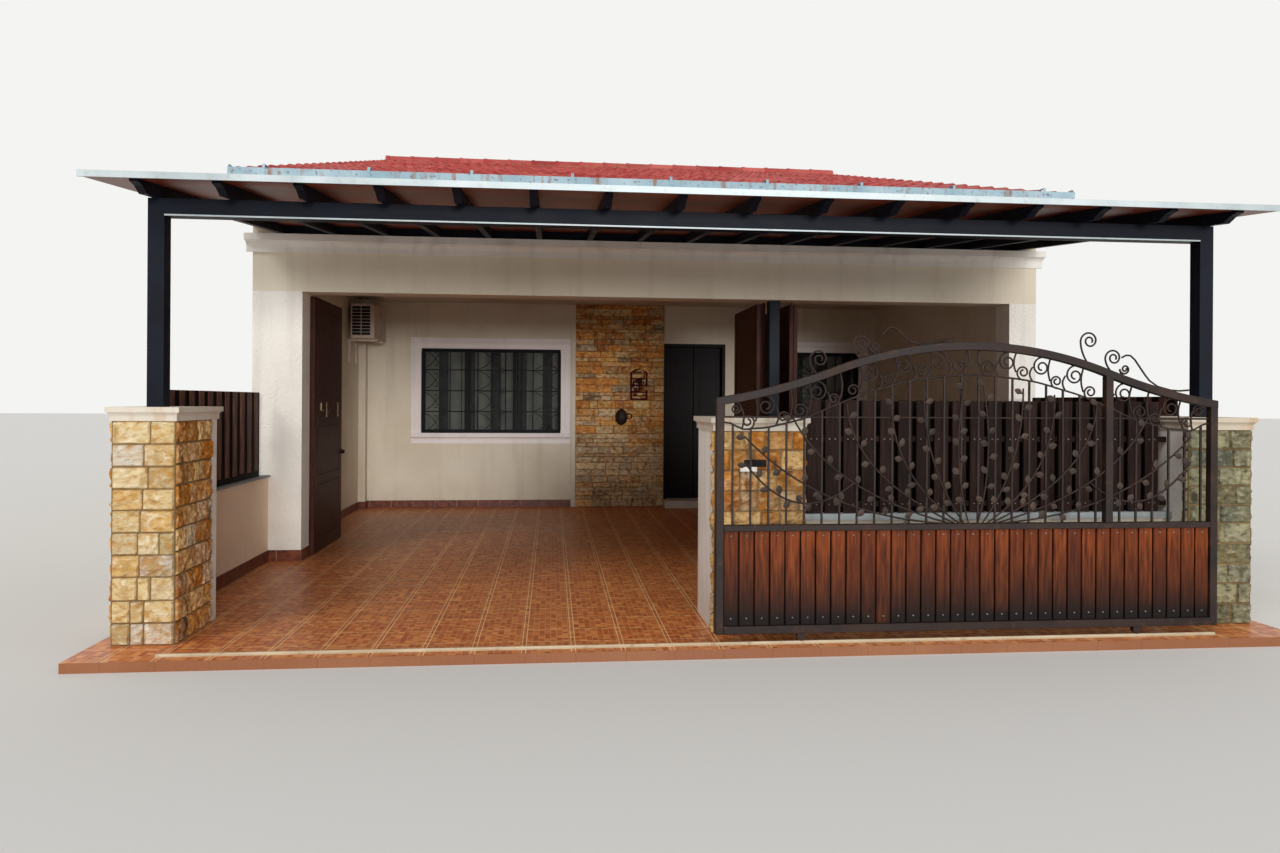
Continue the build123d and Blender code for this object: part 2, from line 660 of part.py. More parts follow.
def folded_stack(low_x, hung_x):
    """Two folded leaves, hinged to each other at the far end and hung from the beam and wall."""
    with Locations((low_x, 0, 0), (low_x + FOLD_LEAF_THICKNESS + FOLD_LEAF_GAP, 0, 0)):
        add(fold_leaf.part)
    hinge_feet = [FOLD_Z[0] + share * FOLD_HEIGHT for share in FOLD_HINGE_SHARES]
    with Locations(*[(hung_x, PORCH_BEAM_THICKNESS, foot) for foot in hinge_feet]):
        Box(FOLD_HINGE_WIDTH, FOLD_HINGE_GAP, FOLD_HINGE_LENGTH,
            align=(Align.CENTER, Align.MIN, Align.MIN))
    block(around(hung_x, FOLD_HINGE_WIDTH), (PORCH_BEAM_THICKNESS, FOLD_Y[0]),
          (hinge_feet[-1], SOFFIT_Z + FOLD_HANGER_LAP))
    with Locations(*[(low_x + STACK_WIDTH / 2, FOLD_Y[1], foot) for foot in hinge_feet]):
        Box(FOLD_HINGE_WIDTH, FOLD_HINGE_WIDTH, FOLD_HINGE_LENGTH,
            align=(Align.CENTER, Align.CENTER, Align.MIN))


with BuildPart() as folding_doors_left:
    left_stack = LEFT_JAMB - FOLD_LEAF_THICKNESS
    folded_stack(left_stack, left_stack + FOLD_LEAF_THICKNESS / 2)
    pull_face = left_stack + STACK_WIDTH
    for share in PULL_SHARES:
        pull_y = FOLD_Y[0] + share * FOLD_LEAF_WIDTH + PULL_BAR / 2
        pull_z = around(FLOOR_TOP + PULL_HEIGHT, PULL_SPAN)
        with BuildSketch(street_plane(pull_y)):
            with BuildLine():
                inner_z = grown(pull_z, -PULL_BAR)
                pull_middle = middle(pull_z)
                ThreePointArc((pull_face, pull_z[0]), (pull_face + PULL_REACH, pull_middle),
                              (pull_face, pull_z[1]))
                Line((pull_face, pull_z[1]), (pull_face, inner_z[1]))
                ThreePointArc((pull_face, inner_z[1]),
                              (pull_face + PULL_REACH - PULL_BAR, pull_middle),
                              (pull_face, inner_z[0]))
                Line((pull_face, inner_z[0]), (pull_face, pull_z[0]))
            make_face()
        extrude(amount=PULL_BAR)
keep("folding_doors_left", folding_doors_left.part)

# The right-hand node holds the stack at each side of the steel post
POST_SIDES = around(PORCH_POST_X, PORCH_POST_SIZE)

with BuildPart() as folding_doors_right:
    left_of_post = POST_SIDES[0] - STACK_WIDTH + FOLD_LEAF_GAP
    folded_stack(left_of_post, left_of_post + STACK_WIDTH - FOLD_LEAF_THICKNESS / 2)
    right_of_post = POST_SIDES[1] + OUTER_WALL
    folded_stack(right_of_post, right_of_post + FOLD_LEAF_THICKNESS / 2)
keep("folding_doors_right", folding_doors_right.part)

# Air conditioner on two brackets at the back of the left party wall
with BuildPart() as air_conditioner:
    unit_x = (-INNER + AIR_UNIT_WALL_GAP, -INNER + AIR_UNIT_WALL_GAP + AIR_UNIT_WIDTH)
    unit_back_y = BACK_Y - CORNER_STRIP_REACH - AIR_UNIT_REAR_GAP
    unit_y = (unit_back_y - AIR_UNIT_DEPTH, unit_back_y)
    unit_z = (FLOOR_TOP + AIR_UNIT_BOTTOM, FLOOR_TOP + AIR_UNIT_BOTTOM + AIR_UNIT_HEIGHT)
    block(unit_x, unit_y, unit_z)
    fillet(air_conditioner.edges().filter_by(Axis.Z), AIR_UNIT_EDGE)
    with BuildSketch(side_plane(unit_x[1] - AIR_FAN_DEPTH)):
        with Locations((middle(unit_y), middle(unit_z))):
            RegularPolygon(AIR_FAN_RADIUS, AIR_FAN_SIDES)
    extrude(amount=AIR_FAN_DEPTH, mode=Mode.SUBTRACT)
    for bracket_y in spaced(unit_y, AIR_UNIT_DEPTH / 2):
        block((-INNER, unit_x[1]), around(bracket_y, BRACKET_BAR), (unit_z[0] - BRACKET_BAR, unit_z[0]))
        block((-INNER, -INNER + BRACKET_BAR), around(bracket_y, BRACKET_BAR),
              (unit_z[0] - AIR_UNIT_WIDTH, unit_z[0]))
keep("air_conditioner", air_conditioner.part)

# A round-headed plaque with a sunk field. Below it an oval ornament with a hook and a ring.
with BuildPart() as wall_ornaments:
    plaque_z = (FLOOR_TOP + PLAQUE_BOTTOM, FLOOR_TOP + PLAQUE_BOTTOM + PLAQUE_HEIGHT)
    shoulder = plaque_z[1] - PLAQUE_WIDTH / 4
    plaque_x = around(PLAQUE_X, PLAQUE_WIDTH)
    with BuildSketch(street_plane(CLADDING_Y)):
        with BuildLine():
            Polyline((plaque_x[0], shoulder), (plaque_x[0], plaque_z[0]),
                     (plaque_x[1], plaque_z[0]), (plaque_x[1], shoulder))
            ThreePointArc((plaque_x[1], shoulder), (PLAQUE_X, plaque_z[1]), (plaque_x[0], shoulder))
        make_face()
    extrude(amount=PLAQUE_THICKNESS)
    with BuildSketch(street_plane(CLADDING_Y - PLAQUE_THICKNESS / 2)):
        panel(grown(plaque_x, -PLAQUE_BORDER), (plaque_z[0] + PLAQUE_BORDER, shoulder))
    extrude(amount=PLAQUE_THICKNESS / 2, mode=Mode.SUBTRACT)
    ornament_z = FLOOR_TOP + ORNAMENT_HEIGHT
    hook_z = (ornament_z, ornament_z + ORNAMENT_HALF_HEIGHT + HOOK_HEIGHT)
    with BuildSketch(street_plane(CLADDING_Y)):
        with BuildLine():
            turns = [2 * math.pi * step / ORNAMENT_SIDES for step in range(ORNAMENT_SIDES)]
            Polyline(*[(ORNAMENT_X + ORNAMENT_HALF_WIDTH * math.cos(turn),
                        ornament_z + ORNAMENT_HALF_HEIGHT * math.sin(turn)) for turn in turns],
                     close=True)
        make_face()
    extrude(amount=ORNAMENT_THICKNESS)
    block(around(ORNAMENT_X, HOOK_BAR), (CLADDING_Y - HOOK_BAR, CLADDING_Y), hook_z)
    with BuildSketch(street_plane(CLADDING_Y)):
        with Locations((ORNAMENT_X + ORNAMENT_HALF_WIDTH + RING_BORE, FLOOR_TOP + RING_HEIGHT)):
            RegularPolygon(RING_RADIUS, ORNAMENT_SIDES)
            RegularPolygon(RING_BORE, ORNAMENT_SIDES, mode=Mode.SUBTRACT)
    extrude(amount=RING_THICKNESS)
keep("wall_ornaments", wall_ornaments.part)

# Front boundary, with one wall along each side of the drive
SIDE_WALL_TOP = FLOOR_TOP + SIDE_WALL_HEIGHT
SIDE_WALLS = (
    ((-HALF, -HALF + SIDE_WALL_THICKNESS), (LEFT_PILLAR_Y[1], 0), 1),
    ((HALF - SIDE_WALL_THICKNESS, HALF), (PILLAR_Y[1], 0), -1),
)
LOW_WALL_X = (MIDDLE_PILLAR[1], RIGHT_PILLAR[0])
LOW_WALL_Y = (PILLAR_FRONT_Y + LOW_WALL_SETBACK,
              PILLAR_FRONT_Y + LOW_WALL_SETBACK + LOW_WALL_THICKNESS)
LOW_WALL_TOP = FLOOR_TOP + LOW_WALL_HEIGHT

with BuildPart() as left_gate_pillar:
    block(LEFT_PILLAR, LEFT_PILLAR_Y, (FLOOR_TOP, FLOOR_TOP + LEFT_PILLAR_HEIGHT - CAP_HEIGHT))
keep("left_gate_pillar", left_gate_pillar.part)

with BuildPart() as middle_gate_pillar:
    block(MIDDLE_PILLAR, PILLAR_Y, (FLOOR_TOP, FLOOR_TOP + MIDDLE_PILLAR_HEIGHT - CAP_HEIGHT))
    slot_z = (FLOOR_TOP + LETTER_SLOT_BOTTOM, FLOOR_TOP + LETTER_SLOT_BOTTOM + LETTER_SLOT_HEIGHT)
    block(around(middle(MIDDLE_PILLAR), LETTER_SLOT_WIDTH),
          (PILLAR_FRONT_Y, PILLAR_FRONT_Y + LETTER_SLOT_DEPTH), slot_z, mode=Mode.SUBTRACT)
keep("middle_gate_pillar", middle_gate_pillar.part)

with BuildPart() as right_gate_pillar:
    block(RIGHT_PILLAR, PILLAR_Y, (FLOOR_TOP, FLOOR_TOP + RIGHT_PILLAR_HEIGHT - CAP_HEIGHT))
keep("right_gate_pillar", right_gate_pillar.part)

# Caps: a moulding swept round the head of each pillar, filled by a plain core
with BuildPart() as pillar_caps:
    for pillar_x, pillar_y, height in (
            (LEFT_PILLAR, LEFT_PILLAR_Y, LEFT_PILLAR_HEIGHT),
            (MIDDLE_PILLAR, PILLAR_Y, MIDDLE_PILLAR_HEIGHT),
            (RIGHT_PILLAR, PILLAR_Y, RIGHT_PILLAR_HEIGHT)):
        cap_base = FLOOR_TOP + height - CAP_HEIGHT
        block(pillar_x, pillar_y, (cap_base, cap_base + CAP_HEIGHT))
        start = (middle(pillar_x), pillar_y[0], cap_base)
        with BuildLine() as cap_path:
            Polyline(start, (pillar_x[1], pillar_y[0], cap_base), (pillar_x[1], pillar_y[1], cap_base),
                     (pillar_x[0], pillar_y[1], cap_base), (pillar_x[0], pillar_y[0], cap_base),
                     start)
        with BuildSketch(Plane(origin=start, x_dir=(0, -1, 0), z_dir=(-1, 0, 0))):
            with BuildLine():
                moulding(0, 0, CAP_LIP, CAP_REACH, CAP_HEIGHT)
            make_face()
        sweep(path=cap_path.wires()[0], transition=Transition.RIGHT)
keep("pillar_caps", pillar_caps.part)

with BuildPart() as boundary_walls:
    for wall_x, wall_y, side in SIDE_WALLS:
        block(wall_x, wall_y, (FLOOR_TOP, SIDE_WALL_TOP))
keep("boundary_walls", boundary_walls.part)

with BuildPart() as front_low_wall:
    block(LOW_WALL_X, LOW_WALL_Y, (FLOOR_TOP, LOW_WALL_TOP))
keep("front_low_wall", front_low_wall.part)

# Copings reach past the walls on the faces that are free
with BuildPart() as wall_copings:
    block(LOW_WALL_X, grown(LOW_WALL_Y, COPING_REACH), (LOW_WALL_TOP, LOW_WALL_TOP + COPING_HEIGHT))
    for wall_x, wall_y, side in SIDE_WALLS:
        coping_x = (wall_x[0] - COPING_REACH * (side < 0), wall_x[1] + COPING_REACH * (side > 0))
        block(coping_x, wall_y, (SIDE_WALL_TOP, SIDE_WALL_TOP + SIDE_COPING_HEIGHT))
keep("wall_copings", wall_copings.part)

# Upright boards on two rails, between the pillars and below their caps
TOP_RAIL_Z = FLOOR_TOP + MIDDLE_PILLAR_HEIGHT - CAP_HEIGHT - 2 * FENCE_RAIL

with BuildPart() as front_fence:
    fence_x = grown(LOW_WALL_X, -FENCE_END_GAP)
    fence_z = (LOW_WALL_TOP + COPING_HEIGHT, FLOOR_TOP + FENCE_TOP)
    fence_front = middle(LOW_WALL_Y) - FENCE_RAIL / 2
    with BuildSketch(street_plane(fence_front)):
        with Locations(*[(board_x, middle(fence_z)) for board_x in spaced(fence_x, FENCE_PITCH)]):
            Rectangle(FENCE_BOARD, fence_z[1] - fence_z[0])
    extrude(amount=FENCE_THICKNESS)
    for rail_z in (fence_z[0] + FENCE_RAIL, TOP_RAIL_Z):
        block(LOW_WALL_X, (fence_front, fence_front + FENCE_RAIL), (rail_z, rail_z + FENCE_RAIL))
keep("front_fence", front_fence.part)

# A closed screen on two rails along each side wall
with BuildPart() as boundary_fences:
    for wall_x, wall_y, side in SIDE_WALLS:
        screen_z = (SIDE_WALL_TOP + SIDE_COPING_HEIGHT, FLOOR_TOP + SIDE_FENCE_TOP)
        screen_end = wall_y[1] - SIDE_FENCE_SETBACK
        screen_face = middle(wall_x) + side * (FENCE_RAIL / 2 + FENCE_THICKNESS)
        screen_x = sorted((screen_face, screen_face - side * FENCE_THICKNESS))
        block(screen_x, (wall_y[0] + FENCE_END_GAP, screen_end), screen_z)
        for rail_z in (screen_z[0] + FENCE_RAIL, TOP_RAIL_Z):
            block(around(middle(wall_x), FENCE_RAIL), (wall_y[0], screen_end),
                  (rail_z, rail_z + FENCE_RAIL))
keep("boundary_fences", boundary_fences.part)

# Skirting tiles on the porch's walls, the wing walls and the boundary walls
with BuildPart() as skirting:
    skirting_z = (FLOOR_TOP, FLOOR_TOP + SKIRTING_HEIGHT)
    strip_x = -INNER + CORNER_STRIP_WIDTH
    strip_y = BACK_Y - CORNER_STRIP_REACH
    pier_strip_x = PIER_LEFT - PIER_STRIP_WIDTH
    block((strip_x, pier_strip_x), (BACK_Y - SKIRTING_THICKNESS, BACK_Y), skirting_z)
    block((strip_x, strip_x + SKIRTING_THICKNESS), (strip_y - SKIRTING_THICKNESS, BACK_Y), skirting_z)
    block((-INNER, strip_x), (strip_y - SKIRTING_THICKNESS, strip_y), skirting_z)
    block((-INNER, -INNER + SKIRTING_THICKNESS), (PORCH_BEAM_THICKNESS, strip_y), skirting_z)
    block((DOOR_RIGHT, INNER), (BACK_Y - SKIRTING_THICKNESS, BACK_Y), skirting_z)
    block((INNER - SKIRTING_THICKNESS, INNER), (PORCH_BEAM_THICKNESS, BACK_Y), skirting_z)
    for wall_x, wall_y, side in SIDE_WALLS:
        inner_x = wall_x[1] if side > 0 else wall_x[0]
        jamb_x = LEFT_JAMB if side > 0 else RIGHT_JAMB
        block(sorted((inner_x, inner_x + side * SKIRTING_THICKNESS)), wall_y, skirting_z)
        block(sorted((inner_x, jamb_x + side * SKIRTING_THICKNESS)), (-SKIRTING_THICKNESS, 0), skirting_z)
        block(sorted((jamb_x, jamb_x + side * SKIRTING_THICKNESS)), (0, PORCH_BEAM_THICKNESS), skirting_z)
keep("skirting", skirting.part)

# Canopy over the drive. Its rafters bear on the beam's front edge and on the cornice.
BEAM_Y = (CANOPY_POST_FRONT_Y, CANOPY_POST_FRONT_Y + CANOPY_POST)
BEAM_Z = (FLOOR_TOP + CANOPY_BEAM_BOTTOM, FLOOR_TOP + CANOPY_BEAM_BOTTOM + CANOPY_BEAM_HEIGHT)
CANOPY_RISE = (CORNICE_TOP_Z - BEAM_Z[1]) / (-CORNICE_REACH - BEAM_Y[0])


def rafter_underside(y):
    """Height of the rafters' underside at a point y of the canopy."""
    return BEAM_Z[1] + (y - BEAM_Y[0]) * CANOPY_RISE


with BuildPart() as canopy_posts:
    for centre, height in ((CANOPY_LEFT_POST_X, LEFT_PILLAR_HEIGHT),
                           (CANOPY_RIGHT_POST_X, RIGHT_PILLAR_HEIGHT)):
        block(around(centre, CANOPY_POST), BEAM_Y, (FLOOR_TOP + height, BEAM_Z[1]))
keep("canopy_posts", canopy_posts.part)

# The beam on the posts, and a plate along the wall on top of the cornice
with BuildPart() as canopy_beam:
    block((CANOPY_LEFT_POST_X + CANOPY_POST / 2, CANOPY_RIGHT_POST_X - CANOPY_POST / 2), BEAM_Y, BEAM_Z)
    block((CANOPY_LEFT_POST_X, CANOPY_RIGHT_POST_X), (-WALL_PLATE_WIDTH, 0),
          (CORNICE_TOP_Z, rafter_underside(-WALL_PLATE_WIDTH) + RAFTER_DEPTH))
keep("canopy_beam", canopy_beam.part)

# Rafters with hollowed tails
with BuildPart() as canopy_rafters:
    rafter_limits = grown((CANOPY_LEFT_POST_X, CANOPY_RIGHT_POST_X), RAFTER_SPACING / 2)
    tail_y = CANOPY_FRONT_Y + RAFTER_FRONT_GAP
    heel_y = tail_y + RAFTER_TAIL_LENGTH
    for rafter_x in spaced(rafter_limits, RAFTER_SPACING):
        with BuildSketch(side_plane(rafter_x - RAFTER_WIDTH / 2)):
            with BuildLine():
                tail_top = (tail_y, rafter_underside(tail_y) + RAFTER_DEPTH)
                tail_lip = (tail_y, tail_top[1] - RAFTER_DEPTH * COVE_START)
                tail_bow = ((tail_y + heel_y) / 2, rafter_underside(tail_y) + RAFTER_DEPTH * COVE_END)
                tail_heel = (heel_y, rafter_underside(heel_y))
                back = (-WALL_PLATE_WIDTH, rafter_underside(-WALL_PLATE_WIDTH))
                Polyline(tail_lip, tail_bow, tail_heel, back, (back[0], back[1] + RAFTER_DEPTH),
                         tail_top, close=True)
            make_face()
        extrude(amount=RAFTER_WIDTH)
keep("canopy_rafters", canopy_rafters.part)

with BuildPart() as canopy_panel:
    with BuildSketch(side_plane(-HALF)):
        with BuildLine():
            panel_front = (CANOPY_FRONT_Y, rafter_underside(CANOPY_FRONT_Y) + RAFTER_DEPTH)
            panel_back = (0, rafter_underside(0) + RAFTER_DEPTH)
            Polyline(panel_front, panel_back, (0, panel_back[1] + CANOPY_PANEL),
                     (CANOPY_FRONT_Y, panel_front[1] + CANOPY_PANEL), close=True)
        make_face()
    extrude(amount=LOT_WIDTH)
keep("canopy_panel", canopy_panel.part)

with BuildPart() as canopy_fascia:
    panel_front_z = rafter_underside(CANOPY_FRONT_Y) + RAFTER_DEPTH + CANOPY_PANEL / 2
    block((-HALF, HALF), (CANOPY_FRONT_Y - FASCIA_THICKNESS, CANOPY_FRONT_Y),
          around(panel_front_z, FASCIA_HEIGHT))
keep("canopy_fascia", canopy_fascia.part)

# House roof
REAR_EAVE = HOUSE_DEPTH + EAVE_REACH


def slope_outline(eave_y, side):
    """Lines round the section of one slope, whose top steps down at the head of every tile course."""
    top = []
    for course in range(COURSE_COUNT):
        for y, drop in ((eave_y + side * course * COURSE_RUN, 0),
                        (eave_y + side * (course + 1) * COURSE_RUN, COURSE_DROP)):
            top.append((y, roof_underside(y) + ROOF_STACK - drop))
    Polyline((RIDGE_Y, RIDGE_Z), (eave_y, EAVE_Z), *top, close=True)


with BuildPart() as front_roof_slope:
    with BuildSketch(side_plane(-HALF)):
        with BuildLine():
            slope_outline(-EAVE_REACH, 1)
        make_face()
    extrude(amount=LOT_WIDTH)
keep("front_roof_slope", front_roof_slope.part)

with BuildPart() as rear_roof_slope:
    with BuildSketch(side_plane(-HALF)):
        with BuildLine():
            slope_outline(REAR_EAVE, -1)
        make_face()
    extrude(amount=LOT_WIDTH)
keep("rear_roof_slope", rear_roof_slope.part)

with BuildPart() as ridge_tiles:
    with BuildSketch(side_plane(-HALF)):
        with BuildLine():
            seat_z = RIDGE_Z + ROOF_STACK - COURSE_DROP
            foot_z = seat_z - RIDGE_TILE_WIDTH / 2 * (SLOPE - COURSE_DROP / COURSE_RUN)
            feet = [(foot_y, foot_z) for foot_y in around(RIDGE_Y, RIDGE_TILE_WIDTH)]
            Polyline(feet[1], (RIDGE_Y, seat_z), feet[0])
            ThreePointArc(feet[0], (RIDGE_Y, seat_z + COURSE_DROP + RIDGE_TILE_HEIGHT), feet[1])
        make_face()
    extrude(amount=LOT_WIDTH)
keep("ridge_tiles", ridge_tiles.part)

# Gutters: folded troughs with cut lower corners and closed ends
GUTTER_Z = (EAVE_Z + ROOF_STACK - GUTTER_HEIGHT, EAVE_Z + ROOF_STACK)

with BuildPart() as gutters:
    for gutter_y in ((-EAVE_REACH - GUTTER_WIDTH, -EAVE_REACH), (REAR_EAVE, REAR_EAVE + GUTTER_WIDTH)):
        with BuildSketch(side_plane(-HALF)) as trough:
            panel(gutter_y, GUTTER_Z)
            chamfer(trough.vertices().group_by(Axis.Z)[0], GUTTER_CORNER)
        extrude(amount=LOT_WIDTH)
        with BuildSketch(side_plane(-HALF + GUTTER_SHEET)) as hollow:
            panel(grown(gutter_y, -GUTTER_SHEET), (GUTTER_Z[0] + GUTTER_SHEET, GUTTER_Z[1]))
            chamfer(hollow.vertices().group_by(Axis.Z)[0], GUTTER_CORNER - GUTTER_SHEET)
        extrude(amount=LOT_WIDTH - 2 * GUTTER_SHEET, mode=Mode.SUBTRACT)
keep("gutters", gutters.part)

with BuildPart() as eave_soffits:
    block((-HALF, HALF), (-EAVE_REACH, 0), (EAVE_Z - SOFFIT_BOARD, EAVE_Z))
    block((-HALF, HALF), (HOUSE_DEPTH, REAR_EAVE), (EAVE_Z - SOFFIT_BOARD, EAVE_Z))
keep("eave_soffits", eave_soffits.part)

# Sliding gate. Its sketches use gate length along x and height above the floor along y.


def gate_plane(back_y):
    """A plane across the gate whose normal looks at the street."""
    return Plane(origin=(GATE_LEFT_X, back_y, FLOOR_TOP), x_dir=(1, 0, 0), z_dir=(0, -1, 0))


BOARD_Z = (GATE_BOTTOM + GATE_TUBE, GATE_MID_TOP - GATE_MID_RAIL)
UPPER_STILE = (STILE_X - GATE_TUBE / 2, STILE_X + GATE_TUBE / 2)
TURN_SLOPE = math.atan2(GATE_TURN_HEIGHT - GATE_CORNER_HEIGHT, GATE_TURN_INSET)
ARCH_RAIL = GATE_TUBE / math.cos(TURN_SLOPE)


def arch_area(inset, drop, foot):
    """The area under a bell-shaped arch that lies a drop below the gate's top edge."""
    with BuildSketch() as area:
        with BuildLine():
            apex = (HALF_GATE, GATE_APEX_HEIGHT - drop)
            for side in (-1, 1):
                turn = (HALF_GATE + side * (HALF_GATE - GATE_TURN_INSET), GATE_TURN_HEIGHT - drop)
                end = (HALF_GATE + side * (HALF_GATE - inset), GATE_CORNER_HEIGHT - drop)
                crown = TangentArc(apex, turn, tangent=(side, 0))
                TangentArc(turn, end, tangent=crown % 1)
                Line(end, (end[0], foot))
            Line((inset, foot), (GATE_LENGTH - inset, foot))
        make_face()
    return area.sketch


def arch_height(x):
    """Height of the gate's top edge at a place along it, on the same two arcs as its outline."""
    place = abs(x - HALF_GATE)
    turn_x = HALF_GATE - GATE_TURN_INSET
    fall = GATE_APEX_HEIGHT - GATE_TURN_HEIGHT
    crown = (turn_x ** 2 + fall ** 2) / (2 * fall)
    if place <= turn_x:
        return GATE_APEX_HEIGHT - crown + math.sqrt(crown ** 2 - place ** 2)
    out = (turn_x / crown, (crown - fall) / crown)
    run = (GATE_TURN_INSET, GATE_CORNER_HEIGHT - GATE_TURN_HEIGHT)
    flare = (run[0] ** 2 + run[1] ** 2) / (2 * (run[0] * out[0] + run[1] * out[1]))
    centre = (turn_x + flare * out[0], GATE_TURN_HEIGHT + flare * out[1])
    return centre[1] - math.sqrt(flare ** 2 - (place - centre[0]) ** 2)


def strip(points, width):
    """The closed outline of a flat strip of one width along a run of points."""
    sides = ([], [])
    for index, point in enumerate(points):
        before = points[max(index - 1, 0)]
        after = points[min(index + 1, len(points) - 1)]
        half = width / 2 / math.dist(before, after)
        across = ((before[1] - after[1]) * half, (after[0] - before[0]) * half)
        sides[0].append((point[0] + across[0], point[1] + across[1]))
        sides[1].append((point[0] - across[0], point[1] - across[1]))
    return sides[0] + sides[1][::-1]


def scroll(centre, radius, turn):
    """Points of a scroll that leaves its lowest point and winds in, to one side or the other."""
    points = []
    for step in range(SCROLL_STEPS + 1):
        share = step / SCROLL_STEPS
        angle = 2 * math.pi * SCROLL_TURNS * share
        reach = radius * SCROLL_EYE_SHARE ** share
        points.append((centre[0] + turn * reach * math.sin(angle), centre[1] - reach * math.cos(angle)))
    return points


gate_outline = arch_area(0, 0, GATE_BOTTOM)
upper_opening = arch_area(GATE_TUBE, ARCH_RAIL, GATE_MID_TOP)
bell_area = arch_area(GATE_TUBE, BELL_DROP, GATE_MID_TOP)
below_bell = arch_area(GATE_TUBE, BELL_DROP + GATE_BAR, GATE_MID_TOP)

with BuildPart() as gate_frame:
    with BuildSketch(gate_plane(GATE_Y + GATE_TUBE / 2)):
        add(gate_outline)
        add(upper_opening, mode=Mode.SUBTRACT)
        panel((GATE_TUBE, GATE_LENGTH - GATE_TUBE), BOARD_Z, mode=Mode.SUBTRACT)
        panel(UPPER_STILE, (GATE_MID_TOP, GATE_TURN_HEIGHT - GATE_TUBE))
    extrude(amount=GATE_TUBE)
    # Two groups of scrolls with a wavy stem on top of the arch
    with BuildSketch(gate_plane(GATE_Y + GATE_BAR / 2)):
        for group_x in TOP_GROUPS:
            for place, radius, turn in TOP_SCROLLS:
                scroll_x = group_x + place
                scroll_z = arch_height(scroll_x) + radius - SCROLL_BITE
                with BuildLine():
                    Polyline(*strip(scroll((scroll_x, scroll_z), radius, turn), SCROLL_BAND),
                             close=True)
                make_face()
            stem = [(group_x + place, arch_height(group_x + place) + lift) for place, lift in TOP_STEM]
            with BuildLine():
                Polyline(*strip(stem, SCROLL_BAND), close=True)
            make_face()
    extrude(amount=GATE_BAR)
keep("gate_frame", gate_frame.part)

with BuildPart() as gate_boards:
    with BuildSketch(gate_plane(GATE_Y + GATE_BOARD_THICKNESS / 2)):
        board_places = spaced((GATE_TUBE, GATE_LENGTH - GATE_TUBE), GATE_BOARD_PITCH)
        board_width = board_places[1] - board_places[0] - GATE_BOARD_GAP
        with Locations(*[(board_x, middle(BOARD_Z)) for board_x in board_places]):
            Rectangle(board_width, BOARD_Z[1] - BOARD_Z[0])
    extrude(amount=GATE_BOARD_THICKNESS)
keep("gate_boards", gate_boards.part)

# Bars stand on the middle rail and end on a thin bell-shaped rod below the arch
BAR_PLACES = (spaced((GATE_TUBE, UPPER_STILE[0]), GATE_BAR_PITCH)
              + spaced((UPPER_STILE[1], GATE_LENGTH - GATE_TUBE), GATE_BAR_PITCH))

with BuildPart() as gate_bars:
    with BuildSketch(gate_plane(GATE_Y + GATE_BAR / 2)):
        with Locations(*[(bar_x, GATE_APEX_HEIGHT / 2) for bar_x in BAR_PLACES]):
            Rectangle(GATE_BAR, GATE_APEX_HEIGHT)
        with Locations((HALF_GATE, GATE_ROD_HEIGHT)):
            Rectangle(GATE_LENGTH, GATE_ROD)
        add(bell_area, mode=Mode.INTERSECT)
        panel(UPPER_STILE, (0, GATE_APEX_HEIGHT), mode=Mode.SUBTRACT)
    extrude(amount=GATE_BAR)
    with BuildSketch(gate_plane(GATE_Y + GATE_BAR / 2)):
        add(bell_area)
        add(below_bell, mode=Mode.SUBTRACT)
        for side in (-1, 1):
            for place, radius, turn in UNDER_SCROLLS:
                scroll_x = HALF_GATE + side * (HALF_GATE - place)
                scroll_z = arch_height(scroll_x) - BELL_DROP - SCROLL_BITE + radius
                with BuildLine():
                    Polyline(*strip(scroll((scroll_x, scroll_z), radius, -side * turn), SCROLL_BAND),
                             close=True)
                make_face()
        panel(UPPER_STILE, (0, GATE_APEX_HEIGHT), mode=Mode.SUBTRACT)
    extrude(amount=GATE_BAR)
keep("gate_bars", gate_bars.part)

# Vines that fan out from the middle of the rail, flat on the street face of the bars
with BuildPart() as gate_vines:
    with BuildSketch(gate_plane(GATE_Y - GATE_BAR / 2)):
        for side in (-1, 1):
            for root, bend, tip in VINES:
                vine = []
                for step in range(VINE_STEPS + 1):
                    share = step / VINE_STEPS
                    weights = ((1 - share) ** 2, 2 * share * (1 - share), share ** 2)
                    reach, height = [sum(weight * point[axis] for weight, point
                                         in zip(weights, (root, bend, tip))) for axis in (0, 1)]
                    vine.append((HALF_GATE + side * reach, height))
                with BuildLine():
                    Polyline(*strip(vine, VINE_BAND), close=True)
                make_face()
        panel(UPPER_STILE, (0, GATE_APEX_HEIGHT), mode=Mode.SUBTRACT)
        panel((0, GATE_LENGTH), (0, GATE_MID_TOP), mode=Mode.SUBTRACT)
    extrude(amount=VINE_THICKNESS)
keep("gate_vines", gate_vines.part)

# Wheels in carriers under the bottom rail, a hair above the track
with BuildPart() as gate_wheels:
    rail_bottom = FLOOR_TOP + GATE_BOTTOM
    for wheel_x in (GATE_LEFT_X + WHEEL_INSET, GATE_LEFT_X + GATE_LENGTH - WHEEL_INSET):
        for side in (-1, 1):
            plate_y = GATE_Y + side * (WHEEL_WIDTH + CARRIER_PLATE) / 2
            block(around(wheel_x, CARRIER_WIDTH), around(plate_y, CARRIER_PLATE),
                  (rail_bottom - CARRIER_DROP, rail_bottom))
        with Locations(Location((wheel_x, GATE_Y, WHEEL_BOTTOM + WHEEL_RADIUS), (90, 0, 0))):
            Cylinder(WHEEL_RADIUS, WHEEL_WIDTH)
keep("gate_wheels", gate_wheels.part)

